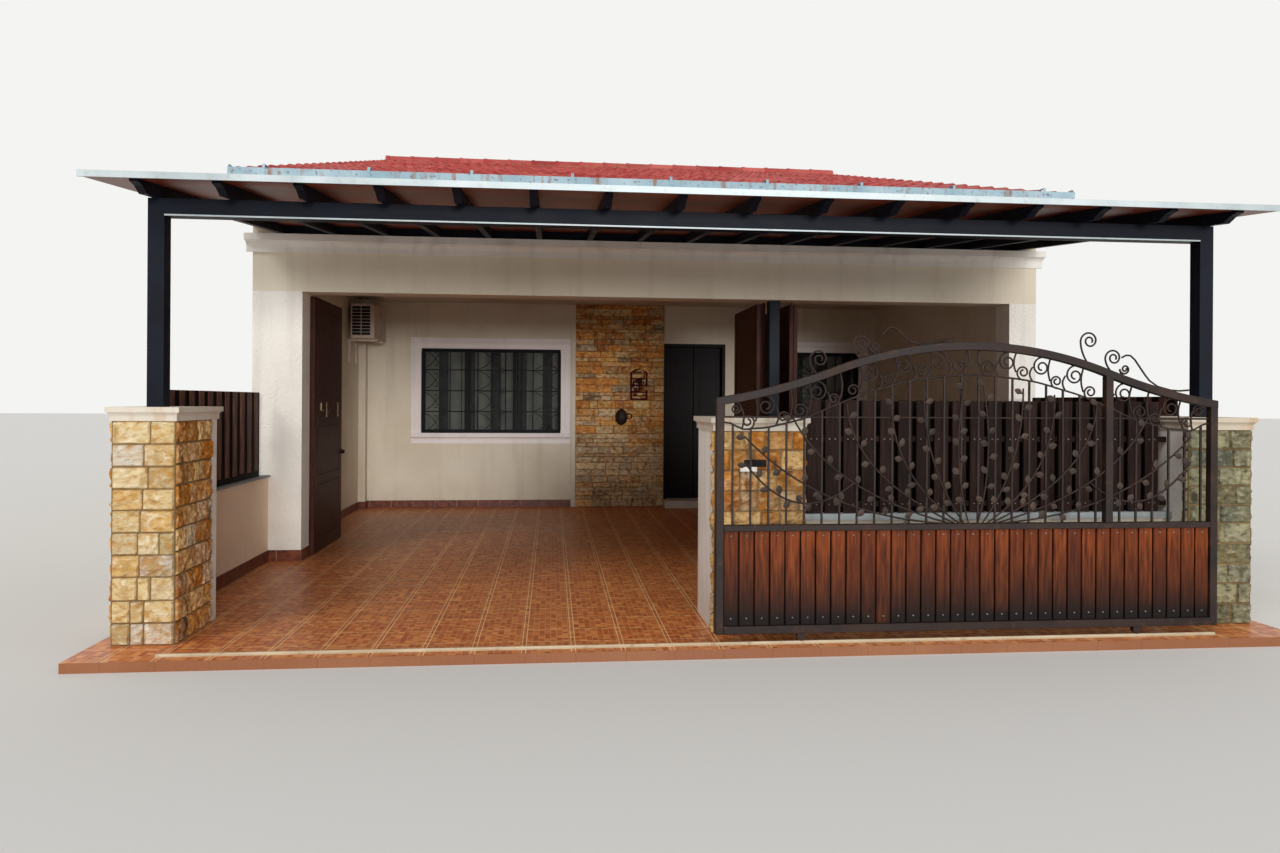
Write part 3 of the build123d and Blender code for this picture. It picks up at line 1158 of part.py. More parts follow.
# Track on the porch floor: a thin plate with a raised bar for the wheels
with BuildPart() as gate_track:
    track_x = (LEFT_PILLAR[1], GATE_LEFT_X + GATE_LENGTH)
    plate_top = FLOOR_TOP + TRACK_PLATE
    block(track_x, around(GATE_Y, TRACK_WIDTH), (FLOOR_TOP, plate_top))
    block(track_x, around(GATE_Y, TRACK_BAR), (plate_top, plate_top + TRACK_BAR))
keep("gate_track", gate_track.part)

os.makedirs("parts", exist_ok=True)
for piece in pieces:
    export_step(piece, f"parts/{piece.label}.step")
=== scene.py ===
import math
import random

import bpy
from mathutils import Matrix, Vector, noise


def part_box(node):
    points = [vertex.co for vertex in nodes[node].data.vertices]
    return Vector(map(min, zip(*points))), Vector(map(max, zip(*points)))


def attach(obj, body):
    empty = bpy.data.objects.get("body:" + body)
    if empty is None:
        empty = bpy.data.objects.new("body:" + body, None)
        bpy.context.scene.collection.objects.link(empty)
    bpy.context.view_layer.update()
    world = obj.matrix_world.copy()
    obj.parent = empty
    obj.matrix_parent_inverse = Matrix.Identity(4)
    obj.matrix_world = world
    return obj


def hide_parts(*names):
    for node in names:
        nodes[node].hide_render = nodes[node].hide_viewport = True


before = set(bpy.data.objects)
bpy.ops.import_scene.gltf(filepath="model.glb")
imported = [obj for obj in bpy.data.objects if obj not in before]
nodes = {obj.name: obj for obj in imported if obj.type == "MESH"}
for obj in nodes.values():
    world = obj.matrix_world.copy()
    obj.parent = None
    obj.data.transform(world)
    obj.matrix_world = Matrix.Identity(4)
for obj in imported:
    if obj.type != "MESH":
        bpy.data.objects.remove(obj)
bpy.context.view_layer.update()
rng = random.Random(11)

# Materials

BLACK = (0, 0, 0, 1)
WHITE = (1, 1, 1, 1)


def rgb(code):
    """A linear colour from a hex code."""
    values = [int(code[i:i + 2], 16) / 255 for i in (0, 2, 4)]
    return tuple(v / 12.92 if v <= 0.04045 else ((v + 0.055) / 1.055) ** 2.4 for v in values) + (1,)


class Shade:
    """One procedural material. Its calls give back the output sockets of new nodes."""

    def __init__(self, name, roughness=0.7, metallic=0.0, sheen=0.25):
        self.material = bpy.data.materials.new(name)
        self.material.use_nodes = True
        self.tree = self.material.node_tree
        self.shader = self.tree.nodes["Principled BSDF"]
        self.shader.inputs["Metallic"].default_value = metallic
        self.shader.inputs["Roughness"].default_value = roughness
        self.shader.inputs["Specular IOR Level"].default_value = sheen
        self.here = self.add("TexCoord").outputs["Object"]

    def feed(self, socket, value):
        if isinstance(value, bpy.types.NodeSocket):
            self.tree.links.new(value, socket)
        else:
            socket.default_value = value

    def add(self, kind, settings=None, **values):
        node = self.tree.nodes.new("ShaderNode" + kind)
        for name, value in (settings or {}).items():
            setattr(node, name, value)
        for name, value in values.items():
            self.feed(node.inputs[name.replace("_", " ")], value)
        return node

    def noise(self, scale, detail=3.0, stretch=(1, 1, 1), shift=0.0):
        spot = self.add("Mapping", Vector=self.here, Scale=stretch, Location=(shift, shift, shift))
        return self.add("TexNoise", Vector=spot.outputs["Vector"], Scale=scale,
                        Detail=detail).outputs["Fac"]

    def ramp(self, factor, *stops):
        node = self.add("ValToRGB", Fac=factor)
        elements = node.color_ramp.elements
        while len(elements) < len(stops):
            elements.new(0.5)
        for element, (place, colour) in zip(elements, stops):
            element.position = place
            element.color = colour
        return node.outputs["Color"]

    def level(self, factor, low, high, most=1.0):
        """A mask that runs from 0 at a low to most at a high factor."""
        return self.add("MapRange", Value=factor, From_Min=low, From_Max=high,
                        To_Max=most).outputs["Result"]

    def mix(self, factor, first, second, blend="MIX"):
        return self.add("MixRGB", {"blend_type": blend}, Fac=factor, Color1=first,
                        Color2=second).outputs["Color"]

    def math(self, operation, first, second=0.0):
        node = self.add("Math", {"operation": operation})
        self.feed(node.inputs[0], first)
        self.feed(node.inputs[1], second)
        return node.outputs[0]

    def tone(self, channel):
        """One of the three random numbers that every part of a piece has."""
        colour = self.add("Attribute", {"attribute_name": "tone"}).outputs["Color"]
        return self.add("SeparateColor", Color=colour).outputs[channel]

    def axis(self, index):
        return self.add("SeparateXYZ", Vector=self.here).outputs[index]

    def upward(self):
        """How far the surface faces up, from -1 to 1."""
        return self.add("SeparateXYZ", Vector=self.add("NewGeometry").outputs["Normal"]).outputs["Z"]

    def colour(self, value):
        self.feed(self.shader.inputs["Base Color"], value)

    def rough(self, value, low, high):
        node = self.add("MapRange", Value=value, To_Min=low, To_Max=high)
        self.feed(self.shader.inputs["Roughness"], node.outputs["Result"])

    def bump(self, *layers):
        """Bumps, each from a height and its depth in metres, laid over each other."""
        normal = None
        for height, depth in layers:
            node = self.add("Bump", Height=height, Distance=depth)
            if normal is not None:
                self.feed(node.inputs["Normal"], normal)
            normal = node.outputs["Normal"]
        self.feed(self.shader.inputs["Normal"], normal)


def render_coat(name, tint, shadow, stain, stain_amount=0.35, coarse=0.004):
    """Painted render: a fine trowelled grain, soft clouds and rain streaks."""
    shade = Shade(name, 0.86)
    cloud = shade.noise(0.9, 5)
    base = shade.ramp(cloud, (0.3, shadow), (0.62, tint))
    streaks = shade.level(shade.noise(7, 5, (1, 1, 0.1)), 0.52, 0.78, stain_amount)
    base = shade.mix(streaks, base, stain)
    foot = shade.level(shade.axis(2), 0.5, 0.05, 0.5)
    splash = shade.math("MULTIPLY", foot, shade.noise(5, 4, shift=3))
    shade.colour(shade.mix(splash, base, stain))
    shade.rough(cloud, 0.78, 0.92)
    shade.bump((shade.noise(38, 4), coarse), (shade.noise(260, 2), 0.0008))
    return shade.material


def wood(name, dark, light, axis, gloss=(0.38, 0.6), fleck=0.5, dark_foot=None):
    """Stained timber with its grain along one axis, and a ragged near-black darkening towards the bottom up to a
    height where one is given.
    """
    shade = Shade(name, sheen=0.12)
    stretch = [9.0, 9.0, 9.0]
    stretch[axis] = 0.7
    grain = shade.noise(6, 6, tuple(stretch))
    fibre = shade.noise(26, 3, tuple(stretch))
    base = shade.ramp(grain, (0.32, dark), (0.68, light))
    base = shade.mix(shade.math("MULTIPLY", fibre, fleck), base, dark)
    base = shade.mix(shade.level(shade.tone("Red"), 0.3, 1.0, 0.6), base, dark)
    worn = shade.level(shade.noise(3, 4, shift=8), 0.56, 0.8, 0.3)
    base = shade.mix(worn, base, light)
    # Ragged near-black darkening towards the bottom, up to the given height
    if dark_foot:
        foot = shade.level(shade.axis(2), dark_foot, 0.22, 1.0)
        ragged = shade.level(shade.noise(4, 5, (1, 1, 0.4), 6), 0.15, 0.45)
        base = shade.mix(shade.math("MULTIPLY", foot, ragged), base, rgb("17100e"))
    shade.colour(base)
    shade.rough(fibre, *gloss)
    shade.bump((fibre, 0.0012), (grain, 0.002))
    return shade.material


def paint(name, tint, worn, rust, gloss=0.42, rust_amount=0.3, metallic=0.0, sheen=0.25):
    """Painted steel with chalky worn patches and a little rust."""
    shade = Shade(name, gloss, metallic, sheen)
    patches = shade.noise(4, 6)
    base = shade.ramp(patches, (0.35, tint), (0.7, worn))
    spots = shade.level(shade.noise(19, 5, shift=5), 0.58, 0.72, rust_amount)
    shade.colour(shade.mix(spots, base, rust))
    shade.rough(patches, gloss - 0.08, gloss + 0.2)
    shade.bump((shade.noise(90, 3), 0.0006))
    return shade.material


def stone(name, stops, stain, recess_shade, ridge_highlight, low_stops=None):
    """Split stone. Each block takes its own place on the colour ramp, or on a second one low down."""
    shade = Shade(name, sheen=0.15)
    relief = shade.noise(21, 7, (1, 1, 1.6))
    place = shade.math("ADD", shade.math("MULTIPLY", shade.tone("Red"), 0.8),
                       shade.math("MULTIPLY", shade.noise(7, 4), 0.35))
    place = shade.math("SUBTRACT", place, 0.08)
    base = shade.ramp(place, *stops)
    if low_stops:
        height = shade.math("ADD", shade.axis(2), shade.math("MULTIPLY", shade.tone("Blue"), 0.5))
        base = shade.mix(shade.level(height, 1.55, 1.1, 0.85), base, shade.ramp(place, *low_stops))
    light = shade.math("ADD", 0.7, shade.math("MULTIPLY", shade.tone("Green"), 0.45))
    base = shade.mix(1.0, base, shade.ramp(light, (0, BLACK), (1, WHITE)), "MULTIPLY")
    # Painted shade in the hollows of the rock face and a painted highlight on its crests, both keyed to the relief
    # that also drives the bump
    base = shade.mix(shade.level(relief, 0.5, 0.32, 0.75), base, recess_shade)
    base = shade.mix(shade.level(relief, 0.55, 0.7, 0.5), base, ridge_highlight)
    dark = shade.level(shade.noise(8, 6, (1.6, 1.6, 0.6), 4), 0.58, 0.7, 0.8)
    shade.colour(shade.mix(dark, base, stain))
    shade.rough(relief, 0.75, 0.95)
    shade.bump((relief, 0.022), (shade.noise(140, 3), 0.002))
    return shade.material


white_coat = render_coat("White render", rgb("f0ece4"), rgb("e0dad0"), rgb("8d8374"))
cream_coat = render_coat("Cream render", rgb("e4dac6"), rgb("d6c9b2"), rgb("a08e74"), 0.22)
# The side walls get a warm peach copy of the cream render: the warmth is painted light bounced from the sunlit floor
bounce_lit_coat = render_coat("Warm bounce-lit side wall render", rgb("fae6cc"), rgb("f0d6b4"), rgb("b08c60"), 0.2)
textured_coat = render_coat("Textured white render", rgb("f2eee6"), rgb("ded8cc"), rgb("a39887"),
                            0.25, 0.012)
mortar = render_coat("Mortar", rgb("8a6e48"), rgb("6e5636"), rgb("4a3826"))
ceiling_coat = render_coat("Ceiling board", rgb("d8d0c0"), rgb("c8bfae"), rgb("8d8374"), 0.15, 0.001)
concrete_coat = render_coat("Concrete", rgb("a8a49b"), rgb("8d8980"), rgb("5c574e"))
coping_coat = render_coat("Coping", rgb("a9b0b0"), rgb("868c8b"), rgb("4c4d48"), 0.45)
cap_coat = render_coat("Pillar caps", rgb("d2c9ba"), rgb("c2b6a2"), rgb("b07c44"), 0.75, 0.002)
moulded_coat = render_coat("Window surround", rgb("f6efec"), rgb("ebe0dc"), rgb("b0a09a"), 0.2, 0.002)

navy_paint = paint("Navy paint", rgb("0a0e18"), rgb("121724"), rgb("2e2422"), 0.46, 0.12, sheen=0.14)
black_paint = paint("Black paint", rgb("0c0c0e"), rgb("171617"), rgb("2e2018"), 0.46, 0.15, sheen=0.1)
iron_paint = paint("Wrought iron", rgb("1d1310"), rgb("33231c"), rgb("5c3822"), 0.5, 0.3)
leaf_paint = paint("Iron leaves", rgb("2c221d"), rgb("4c3d34"), rgb("6a4630"), 0.5, 0.3)
# The gate track's pale beige is a painted highlight of sunlight over the steel's own colour
sunlit_track_paint = paint("Sunlit track steel", rgb("b8a88c"), rgb("cdbfa4"), rgb("8a5a34"), 0.5, 0.4, 0.2)
wheel_steel = paint("Worn steel", rgb("6e6a66"), rgb("8a8680"), rgb("6a3d22"), 0.4, 0.5, 0.8)
bronze = paint("Bronze", rgb("8a7458"), rgb("a58d6c"), rgb("4a3a28"), 0.35, 0.3, 0.7)
unit_paint = paint("Air conditioner casing", rgb("c8b4a4"), rgb("d6c6b8"), rgb("8d6a50"), 0.45, 0.2)
fascia_paint = paint("Canopy fascia", rgb("aab4b6"), rgb("c0c8ca"), rgb("6a5c50"), 0.4, 0.2, 0.3)
plaque_paint = paint("Plaque", rgb("340e0b"), rgb("541812"), rgb("1c0806"), 0.55, 0.5, sheen=0.06)

dark_wood = wood("Entrance timber", rgb("0d0908"), rgb("1a1412"), 2)
door_wood = wood("Folding door timber", rgb("2c110a"), rgb("502416"), 2)
fence_wood = wood("Fence timber", rgb("170d0a"), rgb("3a251e"), 2, (0.5, 0.75))
# Near-black timber for the fence backing and the strips behind boards and planks: painted shade seen through the gaps
painted_shade_timber = wood("Painted shade backing", rgb("0e0908"), rgb("1c1310"), 2, (0.6, 0.8))
slat_wood = wood("Fence slats", rgb("4a2f28"), rgb("86604f"), 2, (0.5, 0.7))
board_wood = wood("Gate timber", rgb("43190a"), rgb("9a4c1c"), 2, (0.4, 0.6), dark_foot=0.66)

CREAM_STOPS = ((0.0, rgb("cab080")), (0.3, rgb("d0b888")), (0.5, rgb("d8c8a8")), (0.66, rgb("c8a266")),
               (0.8, rgb("c8c0b2")), (0.92, rgb("c08a48")), (1.0, rgb("d8ccb2")))
OCHRE_STOPS = ((0.0, rgb("c98a3c")), (0.22, rgb("b8742c")), (0.4, rgb("d8b47c")), (0.55, rgb("c07e34")),
               (0.7, rgb("d9c7a4")), (0.85, rgb("a8662a")), (1.0, rgb("cfa468")))
# Grey sandstone of the right pillar: a grey stone by its own tone, with its colours also darkened as painted shade
# from the tree that overhangs it
GREY_SHADED_STOPS = ((0.0, rgb("7c7a5e")), (0.3, rgb("989270")), (0.5, rgb("66685a")), (0.7, rgb("a49a76")),
              (0.85, rgb("726e56")), (1.0, rgb("8a7648")))
# After the stain colour, each stone takes its painted recess shade and then its painted ridge highlight
cream_stone = stone("Cream sandstone", CREAM_STOPS, rgb("a8854e"), rgb("b07c34"), rgb("f0e4cc"))
ochre_stone = stone("Ochre sandstone", OCHRE_STOPS, rgb("38261a"), rgb("8a5018"), rgb("e0c090"))
grey_shaded_stone = stone("Shade-darkened grey sandstone", GREY_SHADED_STOPS, rgb("2e2a20"), rgb("46402e"), rgb("b4b096"))
# The ledger stone too: after its stain come the painted recess shade and the painted ridge highlight, then the stops
# used low down
ledger = stone("Ledger stone", (
    (0.0, rgb("c87c48")), (0.14, rgb("f2bc6c")), (0.3, rgb("e29648")), (0.45, rgb("f4d498")),
    (0.58, rgb("b46a38")), (0.7, rgb("f2aa54")), (0.84, rgb("dcc49c")), (0.93, rgb("7c5c40")),
    (1.0, rgb("f0ce98"))), rgb("5e4028"), rgb("985e2c"), rgb("fae6c0"),
    ((0.0, rgb("ccb694")), (0.3, rgb("ecd2a4")), (0.5, rgb("dcc6a4")), (0.7, rgb("f0be7c")),
     (0.85, rgb("b8a68a")), (1.0, rgb("f2dfbc"))))


def floor_tiles():
    """Glazed 300 mm terracotta tiles, printed with small blocks and a pale border line."""
    shade = Shade("Floor tile", 0.4)

    def grid(width, height, line, shift=0.0):
        spot = shade.add("Mapping", Vector=shade.here, Location=(shift, 0, 0))
        return shade.add("TexBrick", {"offset": 0.0}, Vector=spot.outputs["Vector"], Color1=BLACK,
                         Color2=WHITE, Mortar=BLACK, Scale=1.0, Mortar_Size=line,
                         Mortar_Smooth=0.3, Brick_Width=width, Row_Height=height)

    joint = grid(0.3, 0.3, 0.004).outputs["Fac"]
    border = grid(0.3, 6.0, 0.0035, 0.024).outputs["Fac"]
    block = grid(0.0375, 0.0375, 0.0026)
    cluster = grid(0.075, 0.15, 0.0).outputs["Color"]
    cloud = shade.noise(9, 5)
    base = shade.ramp(block.outputs["Color"], (0.0, rgb("a24620")), (0.5, rgb("cc6e34")),
                      (1.0, rgb("ea9a54")))
    base = shade.mix(shade.level(cluster, 0.2, 0.9, 0.4), base, rgb("b05828"))
    base = shade.mix(shade.math("MULTIPLY", block.outputs["Fac"], 0.5), base, rgb("f0bc7c"))
    base = shade.mix(shade.math("MULTIPLY", border, 0.8), base, rgb("fad49c"))
    base = shade.mix(shade.math("MULTIPLY", joint, 0.8), base, rgb("fad49c"))
    base = shade.mix(shade.level(shade.upward(), 0.6, 0.4), base, rgb("8e5a3c"))
    dust = shade.level(shade.noise(1.1, 6, shift=2), 0.5, 0.75, 0.2)
    shade.colour(shade.mix(dust, base, rgb("cc9c6c")))
    shade.rough(cloud, 0.3, 0.5)
    shade.bump((shade.math("SUBTRACT", 1.0, joint), 0.0015),
               (shade.math("SUBTRACT", 1.0, block.outputs["Fac"]), 0.0006))
    return shade.material


def skirting_tiles():
    """Dark glazed skirting in lengths of 300 mm."""
    shade = Shade("Skirting tile", 0.35)
    along = shade.math("ADD", shade.axis(0), shade.axis(1))
    share = shade.math("FRACT", shade.math("DIVIDE", along, 0.3))
    joint = shade.level(shade.math("ABSOLUTE", shade.math("SUBTRACT", share, 0.5)), 0.485, 0.49)
    cloud = shade.noise(17, 5)
    base = shade.ramp(cloud, (0.35, rgb("4e2618")), (0.65, rgb("7c4028")))
    shade.colour(shade.mix(joint, base, rgb("8d7660")))
    shade.rough(cloud, 0.3, 0.5)
    shade.bump((shade.math("SUBTRACT", 1.0, joint), 0.0015))
    return shade.material


def roof_clay():
    """Glazed clay tiles, weathered to pink in places and stained along the courses."""
    shade = Shade("Roof tile")
    cloud = shade.noise(1.6, 6)
    base = shade.ramp(shade.tone("Red"), (0.0, rgb("8e2c2a")), (0.5, rgb("a03e3a")),
                      (1.0, rgb("b05048")))
    base = shade.mix(shade.level(cloud, 0.45, 0.75, 0.5), base, rgb("c88076"))
    soot = shade.level(shade.noise(11, 6, shift=6), 0.56, 0.76, 0.6)
    shade.colour(shade.mix(soot, base, rgb("4a2622")))
    shade.rough(cloud, 0.5, 0.75)
    shade.bump((shade.noise(60, 4), 0.002))
    return shade.material


def streaked_gutter():
    """Pale blue paint with rust that runs down from the rim and the joints."""
    shade = Shade("Gutter paint", 0.5)
    patches = shade.noise(3, 5)
    base = shade.ramp(patches, (0.35, rgb("86a2ae")), (0.7, rgb("a8bcc4")))
    runs = shade.level(shade.noise(16, 4, (1, 1, 0.12)), 0.55, 0.7, 0.85)
    base = shade.mix(runs, base, rgb("8a5a3a"))
    shade.colour(shade.mix(shade.level(shade.noise(30, 5, shift=9), 0.58, 0.68, 0.7), base,
                           rgb("5c3320")))
    shade.rough(patches, 0.4, 0.7)
    shade.bump((shade.noise(40, 4), 0.001))
    return shade.material


def canopy_boards(name, dark, light, axis, pitch):
    """Narrow boards with dark gaps, laid across one axis."""
    shade = Shade(name)
    share = shade.math("FRACT", shade.math("DIVIDE", shade.axis(axis), pitch))
    gap = shade.level(shade.math("ABSOLUTE", shade.math("SUBTRACT", share, 0.5)), 0.46, 0.48)
    along = shade.math("FRACT", shade.math("DIVIDE", shade.axis(1 - axis), 0.19))
    rib = shade.level(shade.math("ABSOLUTE", shade.math("SUBTRACT", along, 0.5)), 0.42, 0.47)
    stretch = [6.0, 6.0, 6.0]
    stretch[1 - axis] = 0.5
    grain = shade.noise(5, 5, tuple(stretch))
    base = shade.mix(gap, shade.ramp(grain, (0.35, dark), (0.68, light)), rgb("1c0d08"))
    sheet = shade.ramp(shade.noise(2, 5), (0.35, rgb("98a2a4")), (0.7, rgb("b0b8b8")))
    sheet = shade.mix(rib, sheet, rgb("70797c"))
    shade.colour(shade.mix(shade.level(shade.upward(), 0.4, 0.6), base, sheet))
    shade.rough(grain, 0.28, 0.5)
    shade.bump((shade.math("SUBTRACT", 1.0, gap), 0.003), (grain, 0.0008))
    return shade.material


def glass():
    """Tinted window glass with a trace of dust."""
    shade = Shade("Window glass", 0.04, sheen=0.2)
    shade.shader.inputs["Transmission Weight"].default_value = 0.95
    shade.shader.inputs["IOR"].default_value = 1.12
    dust = shade.noise(6, 5)
    shade.colour(shade.ramp(dust, (0.4, rgb("bcc2c2")), (0.75, rgb("ccd0cc"))))
    shade.rough(dust, 0.02, 0.12)
    return shade.material


def cloth(name, light, dark):
    """Woven curtain cloth in broad pale bands, parted by near-black bands that are painted shade of the gaps between
    curtains.
    """
    shade = Shade(name, 0.9, sheen=0.1)
    weave = shade.noise(180, 3)
    share = shade.math("FRACT", shade.math("DIVIDE", shade.axis(0), 0.37))
    # Near-black bands across the cloth: painted shade of the gaps between curtain panels
    shade_band = shade.level(shade.math("ABSOLUTE", shade.math("SUBTRACT", share, 0.5)), 0.29, 0.32)
    base = shade.mix(shade.level(shade.noise(3, 4), 0.4, 0.7, 0.4), light, rgb("b8b0a2"))
    shade.colour(shade.mix(shade_band, base, dark))
    shade.rough(weave, 0.85, 1.0)
    shade.bump((weave, 0.0006))
    return shade.material


tile_floor = floor_tiles()
# The near-black second colour is the painted shade between the pale bands
curtain_cloth = cloth("Curtain cloth", rgb("b2aea2"), rgb("0e0d0c"))
skirting_tile = skirting_tiles()
roof_tile = roof_clay()
gutter_paint = streaked_gutter()
soffit_wood = canopy_boards("Canopy boards", rgb("5e2414"), rgb("94482c"), 1, 0.12)
eave_wood = canopy_boards("Eave boards", rgb("4a2418"), rgb("6e3a28"), 1, 0.15)
window_pane = glass()

NODE_FINISH = {
    "porch_floor": tile_floor, "house_floor": concrete_coat, "door_step": textured_coat,
    "party_walls": cream_coat, "wing_walls": textured_coat, "porch_beam": cream_coat,
    "cornice": white_coat, "porch_post": navy_paint, "window_wall_left": cream_coat,
    "window_wall_right": cream_coat, "stone_clad_pier": mortar, "door_head_wall": cream_coat,
    "rear_wall": cream_coat, "ceilings": ceiling_coat, "window_surrounds": moulded_coat,
    "window_frames": black_paint, "window_glass": window_pane, "window_grilles": black_paint,
    "entrance_frame": dark_wood, "entrance_door_left": dark_wood, "entrance_door_right": dark_wood,
    "rear_door": door_wood, "folding_doors_left": door_wood, "folding_doors_right": door_wood,
    "air_conditioner": unit_paint, "wall_ornaments": plaque_paint, "skirting": skirting_tile,
    "left_gate_pillar": white_coat, "middle_gate_pillar": white_coat,
    "right_gate_pillar": white_coat, "pillar_caps": cap_coat, "boundary_walls": bounce_lit_coat,
    "wall_copings": coping_coat, "boundary_fences": painted_shade_timber, "front_low_wall": cream_coat,
    "front_fence": fence_wood, "canopy_posts": navy_paint, "canopy_beam": navy_paint,
    "canopy_rafters": navy_paint, "canopy_panel": soffit_wood, "canopy_fascia": fascia_paint,
    "front_roof_slope": cream_coat, "rear_roof_slope": cream_coat, "ridge_tiles": roof_tile,
    "gutters": gutter_paint, "eave_soffits": eave_wood, "gate_track": sunlit_track_paint,
    "gate_frame": iron_paint, "gate_boards": board_wood, "gate_bars": iron_paint,
    "gate_vines": iron_paint, "gate_wheels": iron_paint,
}
for name, node in nodes.items():
    node.data.materials.clear()
    node.data.materials.append(NODE_FINISH[name])

# Geometry


class Pile:
    """The parts of one piece, gathered in one mesh with three random numbers for each part."""

    def __init__(self):
        self.points = []
        self.faces = []
        self.tones = []

    def part(self, points, faces):
        start = len(self.points)
        self.points += [tuple(point) for point in points]
        self.faces += [[start + index for index in face] for face in faces]
        self.tones += [(rng.random(), rng.random(), rng.random(), 1)] * len(faces)

    def box(self, x, y, z):
        corners = [(i, j, k) for i in x for j in y for k in z]
        self.part(corners, [(0, 1, 3, 2), (4, 6, 7, 5), (0, 4, 5, 1), (2, 3, 7, 6), (0, 2, 6, 4),
                            (1, 5, 7, 3)])

    def disc(self, centre, direction, radius, height, sides=12, dome=0.0):
        """A round stud or washer, with a domed head where dome is above 0."""
        turn = Vector(direction).to_track_quat("Z", "Y")
        rings = [(radius, 0.0), (radius, height)]
        if dome:
            rings.append((radius * 0.6, height + dome * 0.8))
        points = [Vector(centre) + turn @ Vector((r * math.cos(a), r * math.sin(a), h))
                  for r, h in rings
                  for a in [2 * math.pi * side / sides for side in range(sides)]]
        faces = [(ring * sides + side, ring * sides + (side + 1) % sides,
                  (ring + 1) * sides + (side + 1) % sides, (ring + 1) * sides + side)
                 for ring in range(len(rings) - 1) for side in range(sides)]
        points.append(Vector(centre) + turn @ Vector((0, 0, height + dome)))
        last = (len(rings) - 1) * sides
        faces += [(last + side, last + (side + 1) % sides, len(points) - 1) for side in range(sides)]
        self.part(points, faces)

    def shell(self, rows, flip=False):
        """A closed body: rows of points joined side by side into a loop, shut at both ends."""
        count = len(rows[0])
        loop = range(len(rows))
        faces = [(k * count + i, k * count + i + 1, (k + 1) % len(rows) * count + i + 1,
                  (k + 1) % len(rows) * count + i) for k in loop for i in range(count - 1)]
        faces.append([k * count for k in loop])
        faces.append([(k + 1) * count - 1 for k in reversed(loop)])
        if flip:
            faces = [tuple(reversed(face)) for face in faces]
        self.part([point for row in rows for point in row], faces)

    def make(self, name, material, slot, body="house", bevel=0.0, smooth=False, replaces=()):
        mesh = bpy.data.meshes.new(name)
        mesh.from_pydata(self.points, [], self.faces)
        tone = mesh.attributes.new("tone", "FLOAT_COLOR", "CORNER")
        tone.data.foreach_set("color", [value for polygon, shade in zip(mesh.polygons, self.tones)
                                        for value in shade * polygon.loop_total])
        mesh.materials.append(material)
        mesh.polygons.foreach_set("use_smooth", [smooth] * len(mesh.polygons))
        piece = bpy.data.objects.new(name, mesh)
        bpy.context.scene.collection.objects.link(piece)
        if bevel:
            cut = piece.modifiers.new("Edges", "BEVEL")
            cut.width = bevel
            cut.segments = 2
            cut.limit_method = "ANGLE"
        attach(piece, body)
        if replaces:
            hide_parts(*replaces)
        return piece


def split_face(pile, origin, across, up, width, height, depth, steps, rough, edge=0.006):
    """The rough outer face of one block, raised from the plane of its wall."""
    across, up = Vector(across), Vector(up)
    out = across.cross(up)
    seed = Vector((rng.uniform(0, 90), rng.uniform(0, 90), rng.uniform(0, 90)))
    tilt = rng.uniform(-0.3, 0.3)
    slant = rng.uniform(-1.2, 1.2)
    columns = [0.0] + [edge + (width - 2 * edge) * i / steps[0] for i in range(steps[0] + 1)] + [width]
    rows = [0.0] + [edge + (height - 2 * edge) * j / steps[1] for j in range(steps[1] + 1)] + [height]
    points = []
    for j, v in enumerate(rows):
        for i, u in enumerate(columns):
            rim = i in (0, len(columns) - 1) or j in (0, len(rows) - 1)
            lift = 0.0
            if not rim:
                spot = Vector((u + slant * v, v, 0))
                ridge = 1 - 3 * abs(noise.noise(spot * 11 + seed))
                wave = ridge + 0.7 * noise.noise(spot * 26 + seed) + 0.4 * noise.noise(spot * 60 + seed)
                crown = math.sin(math.pi * u / width) * math.sin(math.pi * v / height)
                lift = depth + rough * (0.7 * wave + 0.5 * crown + tilt * (u / width - 0.5))
                lift = max(lift, 0.004)
            points.append(Vector(origin) + across * u + up * v + out * lift)
    count = len(columns)
    faces = [(j * count + i, j * count + i + 1, (j + 1) * count + i + 1, (j + 1) * count + i)
             for j in range(len(rows) - 1) for i in range(count - 1)]
    pile.part(points, faces)


def courses(low, high, pitch, spread):
    """Heights that cut a span into the whole number of courses nearest to a pitch."""
    count = max(1, round((high - low) / pitch))
    parts = [rng.uniform(1 - spread, 1 + spread) for _ in range(count)]
    cuts = [low]
    for part in parts:
        cuts.append(cuts[-1] + (high - low) * part / sum(parts))
    return cuts


def stone_field(pile, origin, across, width, z, course, block, depth, rough, joint, steps, spread=0.12):
    """Coursed stone over a rectangle of a wall."""
    levels = courses(z[0], z[1], course, spread)
    for bottom, top in zip(levels, levels[1:]):
        cuts = courses(0.0, width, block * rng.uniform(0.75, 1.25), 0.5)
        for left, right in zip(cuts, cuts[1:]):
            start = Vector(origin) + Vector(across) * (left + joint / 2)
            start.z = bottom + joint / 2
            split_face(pile, start, across, (0, 0, 1), right - left - joint, top - bottom - joint,
                       depth * rng.uniform(0.6, 1.3), steps, rough)


# Stone on the three gate pillars and on the pier beside the entrance
RIGHT, LEFT, BACK, FRONT = (1, 0, 0), (-1, 0, 0), (0, 1, 0), (0, -1, 0)
pillar_mortar = Pile()
STONE_SIDE = 0.572


def clad_pillar(name, front, sides, left_depth, right_depth):
    """Sandstone on the front of a pillar and on a depth of its two sides."""
    low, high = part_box(name)
    z = (low.z, high.z)
    skin = 0.003
    faces = ((front, (low.x, low.y - skin), RIGHT, high.x - low.x),
             (sides, (high.x + skin, low.y), BACK, right_depth),
             (sides, (low.x - skin, low.y + left_depth), FRONT, left_depth))
    for pile, (x, y), across, width in faces:
        stone_field(pile, (x, y, 0), across, width, z, 0.137, 0.16, 0.008, 0.012, 0.009, (12, 9), 0.07)
    pillar_mortar.box((low.x, high.x), (low.y - skin, low.y), z)
    pillar_mortar.box((high.x, high.x + skin), (low.y, low.y + right_depth), z)
    pillar_mortar.box((low.x - skin, low.x), (low.y, low.y + left_depth), z)


